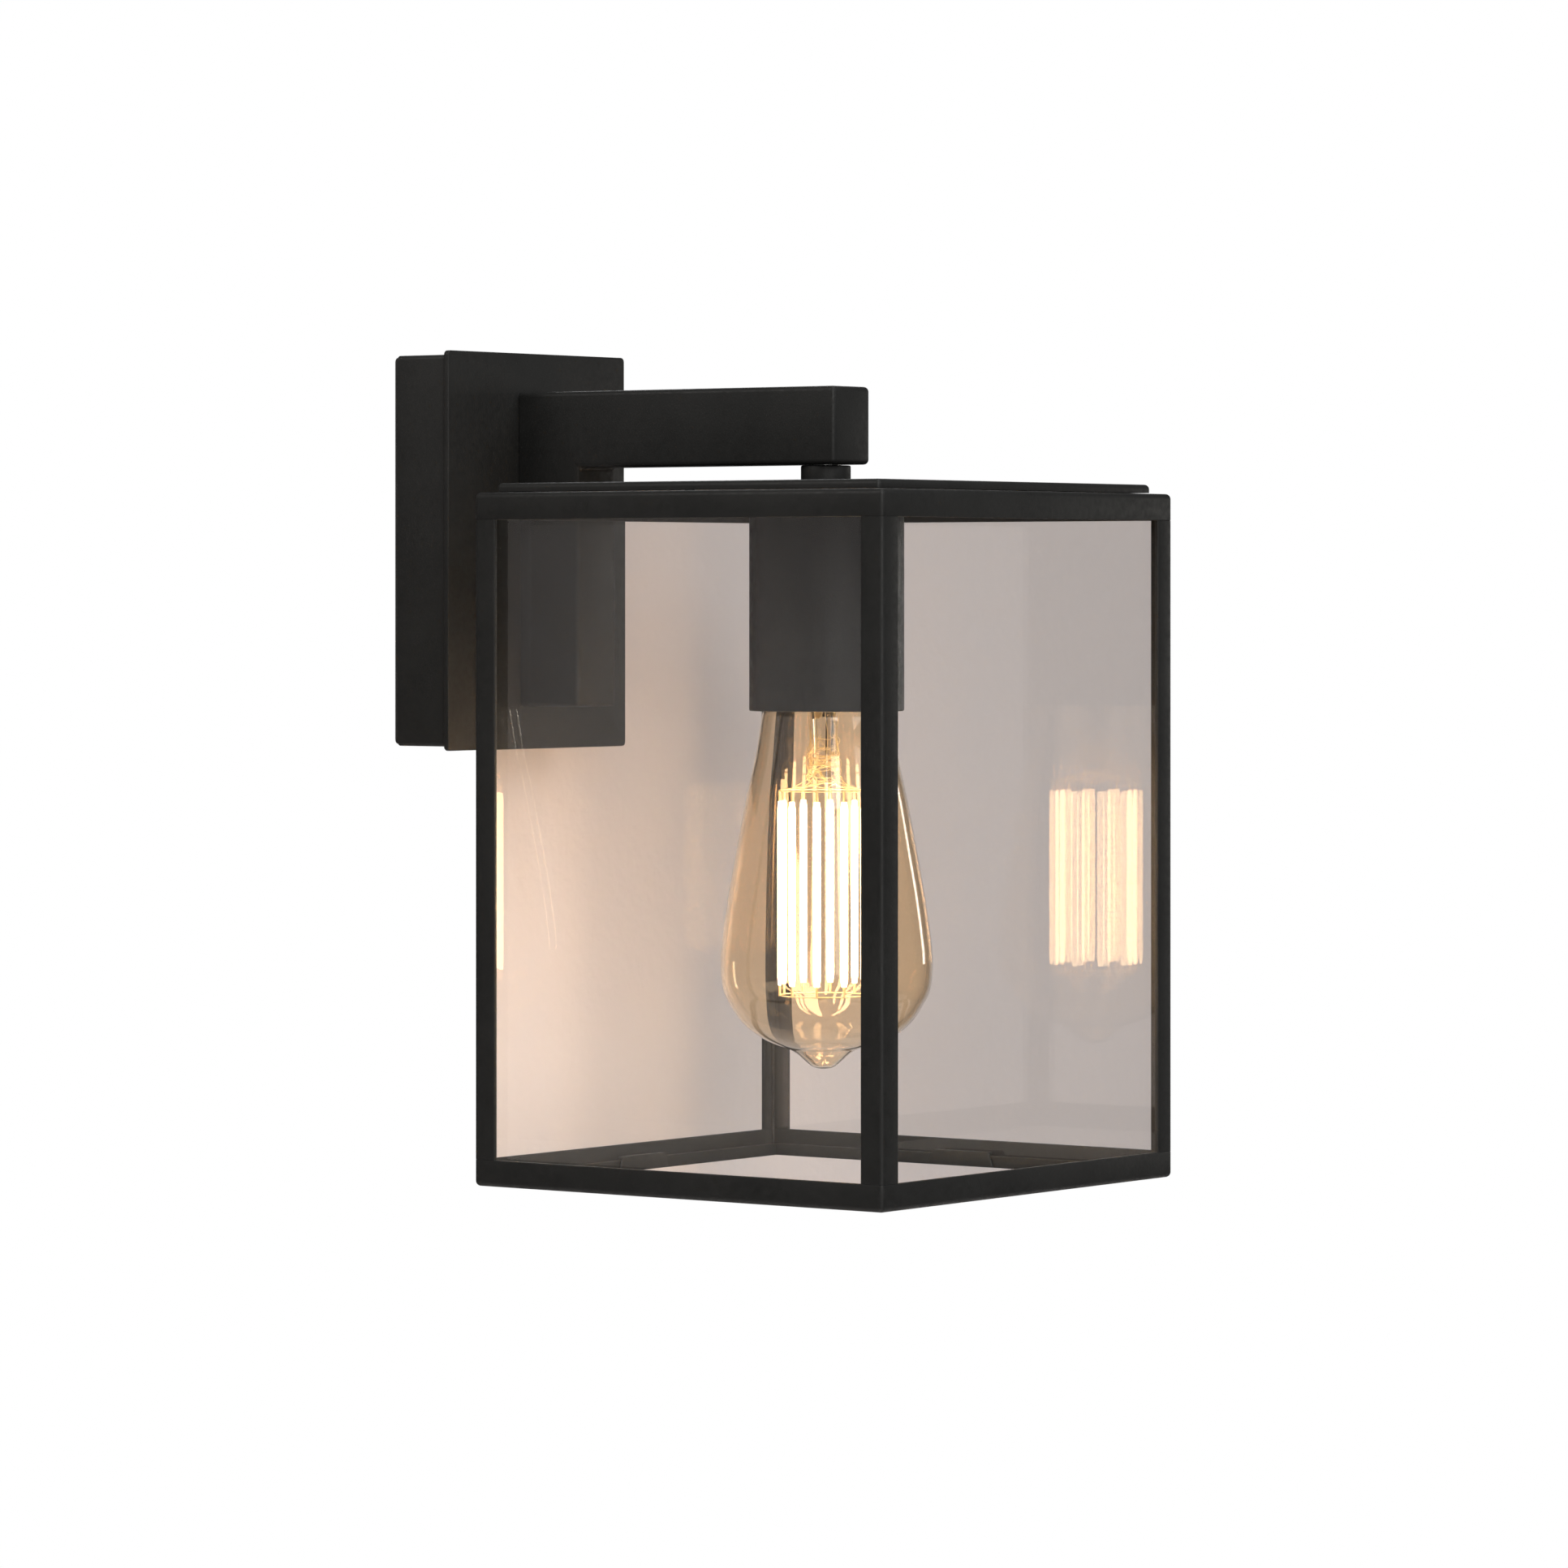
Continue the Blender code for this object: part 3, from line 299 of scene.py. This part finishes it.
def arc(centre_u, centre_v, radius, start, steps=6, sweep=90.0):
    """Points along an arc that starts at an angle in degrees."""
    angles = [math.radians(start + sweep * step / steps) for step in range(steps + 1)]
    return [(centre_u + radius * math.cos(a), centre_v + radius * math.sin(a)) for a in angles]


def rounded_outline(low, high, radius, steps=6):
    """A rounded rectangle between two (u, v) corners."""
    near_u, near_v = low[0] + radius, low[1] + radius
    far_u, far_v = high[0] - radius, high[1] - radius
    return [*arc(far_u, far_v, radius, 0, steps), *arc(near_u, far_v, radius, 90, steps),
            *arc(near_u, near_v, radius, 180, steps), *arc(far_u, near_v, radius, 270, steps)]


def rectangle(low_u, low_v, high_u, high_v):
    return [(low_u, low_v), (high_u, low_v), (high_u, high_v), (low_u, high_v)]


def add_prism(body, outline, low, high, place):
    """Add an outline swept between two levels to a bmesh."""
    floor = [body.verts.new(place(u, v, low)) for u, v in outline]
    roof = [body.verts.new(place(u, v, high)) for u, v in outline]
    body.faces.new(floor)
    body.faces.new(list(reversed(roof)))
    bridge(body, floor, roof)


def bridge(body, first, second):
    """Join two loops of the same length, or a loop and a single point."""
    count = max(len(first), len(second))
    for step in range(count):
        after = (step + 1) % count
        corners = (first[step % len(first)], first[after % len(first)],
                   second[after % len(second)], second[step % len(second)])
        body.faces.new(list(dict.fromkeys(corners)))


def along_x(u, v, w):
    return (w, u, v)


def along_y(u, v, w):
    return (u, w, v)


def along_z(u, v, w):
    return (u, v, w)


def soften(body, width, segments=3, angle=40.0, choose=None):
    """Round every edge sharper than the angle, or those that choose() picks."""
    bmesh.ops.recalc_face_normals(body, faces=body.faces)
    edges = [edge for edge in body.edges if edge.is_manifold and edge.calc_face_angle() > math.radians(angle)]
    if choose:
        edges = [edge for edge in edges if choose(edge)]
    bmesh.ops.bevel(body, geom=edges, offset=width, offset_type="OFFSET", segments=segments, profile=0.5,
                    affect="EDGES", clamp_overlap=True)


def turned_ring(body, radius, level, segments, wave=None):
    """A ring of vertices about the lamp's upright axis, or one vertex where the radius is nothing."""
    if radius < TINY:
        return [body.verts.new((0.0, AXIS_Y, level))]
    ring = []
    for step in range(segments):
        angle = 2 * math.pi * step / segments
        reach = radius + (wave(angle, radius, level) if wave else 0.0)
        ring.append(body.verts.new((reach * math.cos(angle), AXIS_Y + reach * math.sin(angle), level)))
    return ring


def add_turned(body, profile, segments, wave=None):
    """Turn a closed profile of (radius, level) points about the lamp's upright axis."""
    rings = [turned_ring(body, radius, level, segments, wave) for radius, level in profile]
    pairs = list(zip(rings, rings[1:]))
    if len(rings[0]) > 1 or len(rings[-1]) > 1:
        pairs.append((rings[-1], rings[0]))
    for first, second in pairs:
        bridge(body, first, second)


def eased_ring(bore, radius, low, high, ease, steps=4):
    """A ring's profile with its two outer edges rounded."""
    return [(bore, high), *reversed(arc(radius - ease, high - ease, ease, 0, steps)),
            *reversed(arc(radius - ease, low + ease, ease, 270, steps)), (bore, low)]


def smooth_run(points, steps):
    """Points along a Catmull-Rom curve through the given ones."""
    knots = [Vector(point) for point in points]
    knots = [2 * knots[0] - knots[1]] + knots + [2 * knots[-1] - knots[-2]]
    run = []
    for first in range(len(knots) - 3):
        a, b, c, d = knots[first:first + 4]
        for step in range(steps):
            t = step / steps
            run.append(0.5 * (2 * b + (c - a) * t + (2 * a - 5 * b + 4 * c - d) * t ** 2
                              + (3 * b - a - 3 * c + d) * t ** 3))
    run.append(knots[-2])
    return run


def add_tube(body, path, radius, sides=8):
    """A closed round tube along a list of points."""
    before = None
    side = None
    loops = []
    for index, point in enumerate(path):
        run = (path[min(index + 1, len(path) - 1)] - path[max(index - 1, 0)]).normalized()
        side = run.orthogonal() if side is None else side - run * side.dot(run)
        side = side.normalized()
        other = run.cross(side)
        loop = []
        for step in range(sides):
            angle = 2 * math.pi * step / sides
            out = math.cos(angle) * side + math.sin(angle) * other
            loop.append(body.verts.new(point + radius * out))
        if before:
            bridge(body, before, loop)
        loops.append(loop)
        before = loop
    body.faces.new(loops[0])
    body.faces.new(list(reversed(loops[-1])))


# --------------------------------------------------------- wall plate and arm

def build_front_plate():
    low, high = span("front_plate")
    body = bmesh.new()
    outline = rounded_outline((low.x, low.z), (high.x, high.z), PLATE_CORNER)
    add_prism(body, outline, low.y, high.y, along_y)
    soften(body, 0.45 * MM, 4, SQUARE_ANGLE)
    add_piece("front_plate_cover", body, POWDER_COAT, ["front_plate"])


def build_canopy():
    low, high = span("canopy_box")
    wall, inner_corner = 1.2 * MM, 0.6 * MM
    front = low.y + SHEET
    outer = rounded_outline((low.x, low.z), (high.x, high.z), PLATE_CORNER)
    inner = rounded_outline((low.x + wall, low.z + wall), (high.x - wall, high.z - wall), inner_corner)
    body = bmesh.new()
    loops = []
    for outline, level in ((outer, low.y), (outer, high.y), (inner, high.y), (inner, front)):
        loops.append([body.verts.new(along_y(u, v, level)) for u, v in outline])
    for first, second in zip(loops, loops[1:]):
        bridge(body, first, second)
    body.faces.new(loops[0])
    body.faces.new(loops[-1])
    soften(body, 0.3 * MM, 3, SQUARE_ANGLE, lambda edge: abs(edge.verts[0].co.y - low.y) < TINY)
    add_piece("canopy_shell", body, POWDER_COAT, ["canopy_box"])


def build_arm():
    """The L-shaped arm: its leg stands on the plate, and its beam clears the spacer by the CAD's gap."""
    low, high = span("arm_bracket")
    leg_front = -48.6 * MM  # no node's box gives the front of the leg
    beam_bottom = span("arm_spacer")[1].z + CAD_GAP
    outline = [(high.y, low.z), (leg_front, low.z), (leg_front, beam_bottom), (low.y, beam_bottom),
               (low.y, high.z), (high.y, high.z)]
    body = bmesh.new()
    add_prism(body, outline, low.x, high.x, along_x)
    soften(body, 1.6 * MM, 5, SQUARE_ANGLE, lambda edge: min(v.co.y for v in edge.verts) < high.y - 10 * TINY)
    add_piece("arm_casting", body, POWDER_COAT, ["arm_bracket"])


def build_spacer():
    low, high = span("arm_spacer")
    body = bmesh.new()
    profile = eased_ring(TUBE_HOLE_RADIUS, (high.x - low.x) / 2, low.z, high.z, 0.5 * MM)
    add_turned(body, profile, 64)
    add_piece("arm_spacer_ring", body, POWDER_COAT, ["arm_spacer"])


def build_roof():
    low, high = span("roof_plate")
    body = bmesh.new()
    add_prism(body, rectangle(low.x, low.y, high.x, high.y), low.z, high.z, along_z)
    soften(body, 1.6 * MM, 6, SQUARE_ANGLE, lambda edge: max(v.co.z for v in edge.verts) > high.z - TINY)
    add_piece("roof_cover", body, POWDER_COAT, ["roof_plate"])


# ------------------------------------------------------------------------ cage

def ring_path(depth):
    """Points round the cage at a depth inside its outer face, with the outer corners rounded."""
    radius = max(CORNER - depth, SHARPEST)
    centre = CAGE_HALF - depth - radius
    points = []
    for start, sign_x, sign_y in ((0, 1, 1), (90, -1, 1), (180, -1, -1), (270, 1, -1)):
        points += arc(sign_x * centre, sign_y * centre, radius, start)
    return points


def add_frame_ring(body, profile):
    """Sweep a closed (depth, height) section round the cage."""
    loops = []
    for depth, height in profile:
        loops.append([body.verts.new((x, AXIS_Y + y, height)) for x, y in ring_path(depth)])
    for first, second in zip(loops, loops[1:] + loops[:1]):
        bridge(body, first, second)


def build_top_frame():
    """An L section: a flange under the roof and a lip down the outside."""
    top = CAGE_HIGH.z
    low = span("top_rail_front")[0].z
    flange = 12.0 * MM
    ease = 0.3 * MM
    profile = [(flange, top), *arc(CORNER, top - CORNER, CORNER, 90),
               *arc(ease, low + ease, ease, 180, 3), *arc(SHEET - ease, low + ease, ease, 270, 3),
               (SHEET, top - SHEET), (flange, top - SHEET)]
    body = bmesh.new()
    add_frame_ring(body, profile)
    add_piece("cage_top_frame", body, POWDER_COAT, TOP_RAILS)


def build_bottom_frame():
    """A channel section: an outer wall, a floor and a lower inner lip."""
    low = CAGE_LOW.z
    top = span("bottom_rail_front")[1].z
    lip_outer, lip_inner, lip_height = 5.2 * MM, 6.4 * MM, 3.9 * MM
    ease = 0.3 * MM
    profile = [*arc(SHEET - ease, top - ease, ease, 0, 3), *arc(ease, top - ease, ease, 90, 3),
               *arc(CORNER, low + CORNER, CORNER, 180), *arc(lip_inner - ease, low + ease, ease, 270, 3),
               *arc(lip_inner - ease, low + lip_height - ease, ease, 0, 3),
               *arc(lip_outer + ease, low + lip_height - ease, ease, 90, 3),
               (lip_outer, low + SHEET), (SHEET, low + SHEET)]
    body = bmesh.new()
    add_frame_ring(body, profile)
    add_piece("cage_bottom_frame", body, POWDER_COAT, BOTTOM_RAILS)


def build_posts():
    """L-section corner posts that reach a hair into the frames above and below."""
    overlap = 0.02 * MM
    low = span("bottom_rail_front")[1].z - overlap
    high = span("top_rail_front")[0].z + overlap
    width, ease = 8.4 * MM, 0.45 * MM
    reach = CAGE_HALF
    inner = reach - SHEET
    far = reach - width
    outline = [*arc(reach - ease, far + ease, ease, -90, 4), *arc(reach - CORNER, reach - CORNER, CORNER, 0),
               *arc(far + ease, reach - ease, ease, 90, 4), *arc(far + ease, inner + ease, ease, 180, 4),
               (inner, inner), *arc(inner + ease, far + ease, ease, 180, 4)]
    for name in POSTS:
        sign_x = -1 if name.endswith("left") else 1
        sign_y = -1 if "front" in name else 1
        body = bmesh.new()
        add_prism(body, [(sign_x * u, AXIS_Y + sign_y * v) for u, v in outline], low, high, along_z)
        add_piece(name.replace("corner", "cage"), body, POWDER_COAT, [name])


def build_panes():
    for side in SIDES:
        name = f"glass_pane_{side}"
        low, high = span(name)
        body = bmesh.new()
        add_prism(body, rectangle(low.x, low.y, high.x, high.y), low.z, high.z, along_z)
        soften(body, 0.35 * MM, 2)
        add_piece(f"pane_{side}", body, PANE_GLASS, [name], angle=20.0)


def build_clips():
    """The CAD's clips with their flat faces merged and their edges rounded."""
    for side in SIDES:
        name = f"glass_clip_{side}"
        body = bmesh.new()
        body.from_mesh(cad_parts[name].data)
        bmesh.ops.remove_doubles(body, verts=body.verts, dist=0.01 * MM)
        bmesh.ops.dissolve_limit(body, angle_limit=math.radians(2.0), verts=body.verts, edges=body.edges)
        soften(body, 0.25 * MM, 3)
        add_piece(f"retaining_clip_{side}", body, POWDER_COAT, [name])


# ------------------------------------------------------------------ lampholder

def build_cup():
    inside = CUP_RADIUS - 1.2 * MM
    low, high = CUP_LOW.z, CUP_HIGH.z
    ease, inner_ease = 0.5 * MM, 0.2 * MM
    profile = [(TUBE_HOLE_RADIUS, high), *reversed(arc(CUP_RADIUS - ease, high - ease, ease, 0, 4)),
               *reversed(arc(CUP_RADIUS - ease, low + ease, ease, 270, 4)),
               *reversed(arc(inside + inner_ease, low + inner_ease, inner_ease, 180, 3)),
               (inside, high - SHEET), (TUBE_HOLE_RADIUS, high - SHEET)]
    body = bmesh.new()
    add_turned(body, profile, 128)
    add_piece("lampholder_cover", body, POWDER_COAT, ["lampholder_cup"])


# ------------------------------------------------------------------------ bulb

def bulb_outline():
    """Outside of the envelope from the neck to the sealed tip, from (radius, level) points in millimetres."""
    neck = [(11.0, -36.5), (11.0, -43.6), (12.0, -44.9), (14.8, -47.4), (17.8, -49.8), (19.5, -52.1)]
    drop = [(21.7, -65.5), (24.8, -79.5), (27.6, -94.5), (30.3, -109.5), (32.2, -122.5), (32.98, -131.9),
            (32.2, -140.5), (29.6, -146.0), (26.0, -151.2), (20.9, -155.4), (14.9, -158.4), (10.6, -159.8)]
    tip = [(8.2, -161.3), (5.9, -163.4), (3.6, -165.2), (1.6, -165.85), (0.0, -166.0)]
    upper = smooth_run([Vector((r, z)) * MM for r, z in neck + drop], 4)
    lower = smooth_run([Vector((r, z)) * MM for r, z in [drop[-1], *tip]], 5)
    return upper + lower[1:]


def inset_outline(points, depth):
    """The same outline moved inwards by a depth, with its ends kept on the neck's level and the axis."""
    moved = []
    for index, point in enumerate(points):
        run = (points[min(index + 1, len(points) - 1)] - points[max(index - 1, 0)]).normalized()
        moved.append(Vector((max(point.x + run.y * depth, 0.0), point.y - run.x * depth)))
    moved[-1] = Vector((0.0, points[-1].y + depth))
    moved[0] = Vector((points[0].x - depth, points[0].y))
    return moved


def build_bulb_glass():
    """Two skins that are each closed at the tip and joined round the neck."""
    thickness = 0.7 * MM
    segments = 128
    outside = bulb_outline()
    body = bmesh.new()
    skins = [[turned_ring(body, point.x, point.y, segments) for point in outline]
             for outline in (outside, inset_outline(outside, thickness))]
    for rings in skins:
        for first, second in zip(rings, rings[1:]):
            bridge(body, first, second)
    bridge(body, skins[0][0], skins[1][0])
    add_piece("bulb_envelope", body, BULB_GLASS, ["bulb_glass"], "bulb", 80.0)


def build_bulb_cap():
    """Rolled screw thread that fades into a plain skirt below and a plain end above."""
    low, high = span("bulb_cap")
    major = (high.x - low.x) / 2
    minor = 12.1 * MM
    pitch = 3.629 * MM
    bore = 11.4 * MM
    plain_skirt, plain_end, run_out = 3.0 * MM, 0.8 * MM, 1.2 * MM

    def wave(angle, radius, level):
        if abs(radius - minor) > 0.05 * MM:
            return 0.0
        fade = min(level - (low.z + plain_skirt), high.z - plain_end - level) / run_out
        fade = min(max(fade, 0.0), 1.0)
        return fade * (major - minor) / 2 * (1 + math.cos(2 * math.pi * level / pitch - angle))

    rows = 90
    span_z = high.z - low.z - 2.0 * MM
    profile = [(minor, high.z - span_z * row / rows) for row in range(rows + 1)]
    profile += [(major - 0.3 * MM, low.z + 1.5 * MM), (major - 0.05 * MM, low.z + 1.1 * MM),
                (major, low.z), (bore, low.z), (bore, high.z)]
    body = bmesh.new()
    add_turned(body, profile, 72, wave=wave)
    add_piece("bulb_screw_cap", body, NICKEL, ["bulb_cap"], "bulb", 50.0)


def build_bulb_stem():
    """The glass stem: a wide foot in the neck that narrows to the wires' support."""
    points = [(9.6, -38.0), (9.4, -40.0), (6.6, -45.0), (4.4, -50.0), (3.6, -56.0), (3.2, -66.0),
              (3.8, -71.0), (2.6, -74.0), (0.0, -75.0)]
    run = smooth_run([Vector((r, z)) * MM for r, z in points], 4)
    profile = [(0.0, run[0].y)] + [(max(point.x, 0.0), point.y) for point in run]
    profile[-1] = (0.0, profile[-1][1])
    body = bmesh.new()
    add_turned(body, profile, 48)
    add_piece("bulb_glass_stem", body, STEM_GLASS, ["bulb_stem"], "bulb", SQUARE_ANGLE)


FILAMENT_LOW, FILAMENT_HIGH = span("filament_cage")
RING = 14.2 * MM
UPPER_RING = FILAMENT_HIGH.z - 0.6 * MM
LOWER_RING = FILAMENT_LOW.z + 0.6 * MM
FILAMENTS = 10
FIRST_FILAMENT = math.radians(-44.4)
STEM_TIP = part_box("bulb_stem")[0][2]


def around(radius, angle, level):
    return Vector((radius * math.cos(angle), AXIS_Y + radius * math.sin(angle), level))


def filament_angles():
    return [FIRST_FILAMENT + 2 * math.pi * number / FILAMENTS for number in range(FILAMENTS)]


def build_filaments():
    """Lit strips between the two rings, flat towards the outside, narrowed at their ends."""
    body = bmesh.new()
    clear = 3.4 * MM
    top, low = UPPER_RING - clear, LOWER_RING + clear
    half_width, half_depth, corner = 1.25 * MM, 0.6 * MM, 0.5 * MM
    section = rounded_outline((-half_width, -half_depth), (half_width, half_depth), corner, 4)
    end_share = 0.7
    steps = 24
    for angle in filament_angles():
        out = Vector((math.cos(angle), math.sin(angle), 0.0))
        side = Vector((-math.sin(angle), math.cos(angle), 0.0))
        loops = []
        for step in range(steps + 1):
            centre = around(RING, angle, top + (low - top) * step / steps)
            share = end_share if step in (0, steps) else 1.0
            loops.append([body.verts.new(centre + side * u * share + out * v * share) for u, v in section])
        for first, second in zip(loops, loops[1:]):
            bridge(body, first, second)
        body.faces.new(loops[0])
        body.faces.new(loops[-1])
    add_piece("filament_strips", body, FILAMENT, ["filament_cage"], "bulb", SQUARE_ANGLE)


RING_WIRE = 0.22 * MM
END_TAB = 0.42 * MM
LEAD_WIRE = 0.13 * MM
FINE_WIRE = 0.11 * MM


def above_tip(height):
    """The level that is a number of millimetres above the stem's tip."""
    return STEM_TIP + height * MM


def add_filament_rings(body):
    steps = 64
    for level in (UPPER_RING, LOWER_RING):
        loop = [around(RING, 2 * math.pi * step / steps, level) for step in range(steps + 1)]
        add_tube(body, loop, RING_WIRE)


def add_end_tabs(body):
    """A short metal tab at each end of each strip, from just past its ring to just inside the strip."""
    for angle in filament_angles():
        for ring, inward in ((UPPER_RING, -1), (LOWER_RING, 1)):
            tab = [around(RING, angle, ring + inward * reach * MM) for reach in (-0.2, 1.8, 3.6)]
            add_tube(body, tab, END_TAB)


def add_leads(body):
    """Wires that run down close round the stem."""
    count = 8
    for number in range(count):
        angle = 2 * math.pi * number / count + random.uniform(-0.15, 0.15)
        lead = [around(5.6 * MM, angle, above_tip(28.0)), around(4.9 * MM, angle, above_tip(22.0)),
                around(4.4 * MM, angle + 0.2, above_tip(15.0)), around(4.5 * MM, angle, above_tip(6.0))]
        add_tube(body, smooth_run(lead, 4), LEAD_WIRE, 6)


def add_tangle(body):
    """Fine wires that wander down round the stem and then out to the upper ring."""
    count = 14
    for number in range(count):
        angle = 2 * math.pi * number / count
        points = [around(4.2 * MM, angle, above_tip(16.0))]
        for step in range(1, 6):
            wander = angle + random.uniform(-1.3, 1.3)
            reach = random.uniform(3.9, 6.0) * MM
            level = above_tip(16.0 - 3.0 * step) + random.uniform(-1.3, 1.3) * MM
            points.append(around(reach, wander, level))
        points += [around(RING * 0.7, angle, UPPER_RING + 0.9 * MM), around(RING, angle, UPPER_RING)]
        add_tube(body, smooth_run(points, 6), FINE_WIRE, 6)


def add_loose_loops(body):
    """Loops of fine wire that go a little less than once round the stem."""
    for _ in range(7):
        start = random.uniform(0.0, 2 * math.pi)
        level = above_tip(random.uniform(0.5, 10.0))
        points = []
        for step in range(9):
            drift = random.uniform(-0.9, 0.9) * MM
            reach = random.uniform(4.0, 5.8) * MM
            points.append(around(reach, start + 0.75 * step, level + drift))
        add_tube(body, smooth_run(points, 5), FINE_WIRE, 6)


def build_filament_wires():
    """The two rings, the strips' end tabs, and the leads, tangle and loops of wire round the stem."""
    random.seed(7)
    body = bmesh.new()
    add_filament_rings(body)
    add_end_tabs(body)
    add_leads(body)
    add_tangle(body)
    add_loose_loops(body)
    add_piece("filament_wires", body, GOLD_WIRE, None, "bulb", SQUARE_ANGLE)


# ----------------------------------------------------------------------- stage

FLOOR_LEVEL = -0.55
WALL_Y = 0.004
STUDIO_STRENGTH = 0.075
LIGHT_TARGET = (0.0, AXIS_Y, -0.09)

# Each light's name, place, width and height, power and colour.
LIGHTS = (
    ("key", (-1.2, -1.7, 1.1), (0.9, 0.9), 14.0, (1.0, 0.98, 0.95)),
    ("fill", (0.5, -2.0, 0.9), (0.9, 0.9), 5.8, (0.97, 0.98, 1.0)),
    ("top", (0.1, -0.5, 1.5), (1.1, 1.1), 8.0, (1.0, 1.0, 1.0)),
    ("corner", (-1.0, -1.36, 0.05), (0.4, 0.8), 3.5, (1.0, 0.99, 0.97)),
    ("side_softbox", (1.15, -0.42, -0.03), (0.10, 0.32), 0.7, (1.0, 0.96, 0.90)),
    ("back_left", (-1.6, 0.6, 1.1), (0.8, 0.8), 8.0, (1.0, 0.97, 0.93)),
    ("back_right", (1.3, 1.1, 0.9), (0.8, 0.8), 5.0, (0.97, 0.98, 1.0)),
)


def add_stage_sheet(name, outline, level, place, colour):
    """A flat sheet of painted studio scenery."""
    mesh = bpy.data.meshes.new(name)
    mesh.from_pydata([place(u, v, level) for u, v in outline], [], [(0, 1, 2, 3)])
    shader = Shader(f"{name}_paint", colour, 0.85)
    shader.bump((shader.noise(160.0, 3.0), 0.5 * MM))
    mesh.materials.append(shader.material)
    sheet = bpy.data.objects.new(name, mesh)
    bpy.context.scene.collection.objects.link(sheet)
    return sheet


def build_stage():
    """A pale floor, and a pale wall that shows only through glass and in the light it throws back."""
    floor_outline = rectangle(-0.7, -0.85, 0.7, 0.55)
    wall_outline = rectangle(-2.5, -0.7, 2.5, 0.7)
    add_stage_sheet("studio_floor", floor_outline, FLOOR_LEVEL, along_z, (0.82, 0.81, 0.80))
    wall = add_stage_sheet("studio_wall", wall_outline, WALL_Y, along_y, (0.88, 0.81, 0.80))
    wall.visible_camera = False
    wall.visible_shadow = False
    wall.visible_glossy = False


def build_world():
    """White where the camera looks past the lantern or straight through it, a dim studio elsewhere."""
    world = bpy.data.worlds.new("studio")
    bpy.context.scene.world = world
    world.use_nodes = True
    tree = world.node_tree
    backdrop = tree.nodes["Background"]
    backdrop.inputs["Color"].default_value = (1.0, 1.0, 1.0, 1.0)
    backdrop.inputs["Strength"].default_value = 1.0
    studio = tree.nodes.new("ShaderNodeBackground")
    studio.inputs["Color"].default_value = (1.0, 0.985, 0.97, 1.0)
    studio.inputs["Strength"].default_value = STUDIO_STRENGTH
    path = tree.nodes.new("ShaderNodeLightPath")

    def combine(operation, first, second):
        step = tree.nodes.new("ShaderNodeMath")
        step.operation = operation
        for socket, value in zip(step.inputs, (first, second)):
            if isinstance(value, float):
                socket.default_value = value
            else:
                tree.links.new(value, socket)
        return step.outputs["Value"]

    bounces = combine("ADD", path.outputs["Diffuse Depth"], path.outputs["Glossy Depth"])
    unbounced = combine("LESS_THAN", bounces, 0.5)
    through_glass = combine("MULTIPLY", path.outputs["Is Transmission Ray"], unbounced)
    seen = combine("MAXIMUM", path.outputs["Is Camera Ray"], through_glass)
    mix = tree.nodes.new("ShaderNodeMixShader")
    tree.links.new(seen, mix.inputs["Fac"])
    tree.links.new(studio.outputs["Background"], mix.inputs[1])
    tree.links.new(backdrop.outputs["Background"], mix.inputs[2])
    tree.links.new(mix.outputs["Shader"], tree.nodes["World Output"].inputs["Surface"])


def build_lights():
    """Plain area lights, all turned towards the lantern's middle."""
    for name, place, size, power, colour in LIGHTS:
        data = bpy.data.lights.new(name, "AREA")
        data.shape = "RECTANGLE"
        data.size, data.size_y = size
        data.energy = power
        data.color = colour
        light = bpy.data.objects.new(name, data)
        bpy.context.scene.collection.objects.link(light)
        light.location = place
        light.rotation_euler = (Vector(LIGHT_TARGET) - Vector(place)).to_track_quat("-Z", "Y").to_euler()


CAMERA_PLACE = (-1.7492, -1.4244, -0.0137)
CAMERA_HEADING = -53.4
LENS = 155.6
LENS_SHIFT = -0.122


def build_camera():
    """Level camera to the left of the lantern's front, far enough for a long lens."""
    data = bpy.data.cameras.new("camera")
    data.sensor_width = 36.0
    data.lens = LENS
    data.shift_y = LENS_SHIFT
    camera = bpy.data.objects.new("camera", data)
    bpy.context.scene.collection.objects.link(camera)
    camera.location = CAMERA_PLACE
    camera.rotation_euler = (math.radians(90.0), 0.0, math.radians(CAMERA_HEADING))
    bpy.context.scene.camera = camera


# ------------------------------------------------------------------------ make

bpy.context.scene.view_settings.view_transform = "Standard"
build_camera()
build_world()
build_stage()
build_lights()
finish_cad_nodes()
build_front_plate()
build_canopy()
build_arm()
build_spacer()
build_roof()
build_top_frame()
build_bottom_frame()
build_posts()
build_panes()
build_clips()
build_cup()
build_bulb_glass()
build_bulb_cap()
build_bulb_stem()
build_filaments()
build_filament_wires()
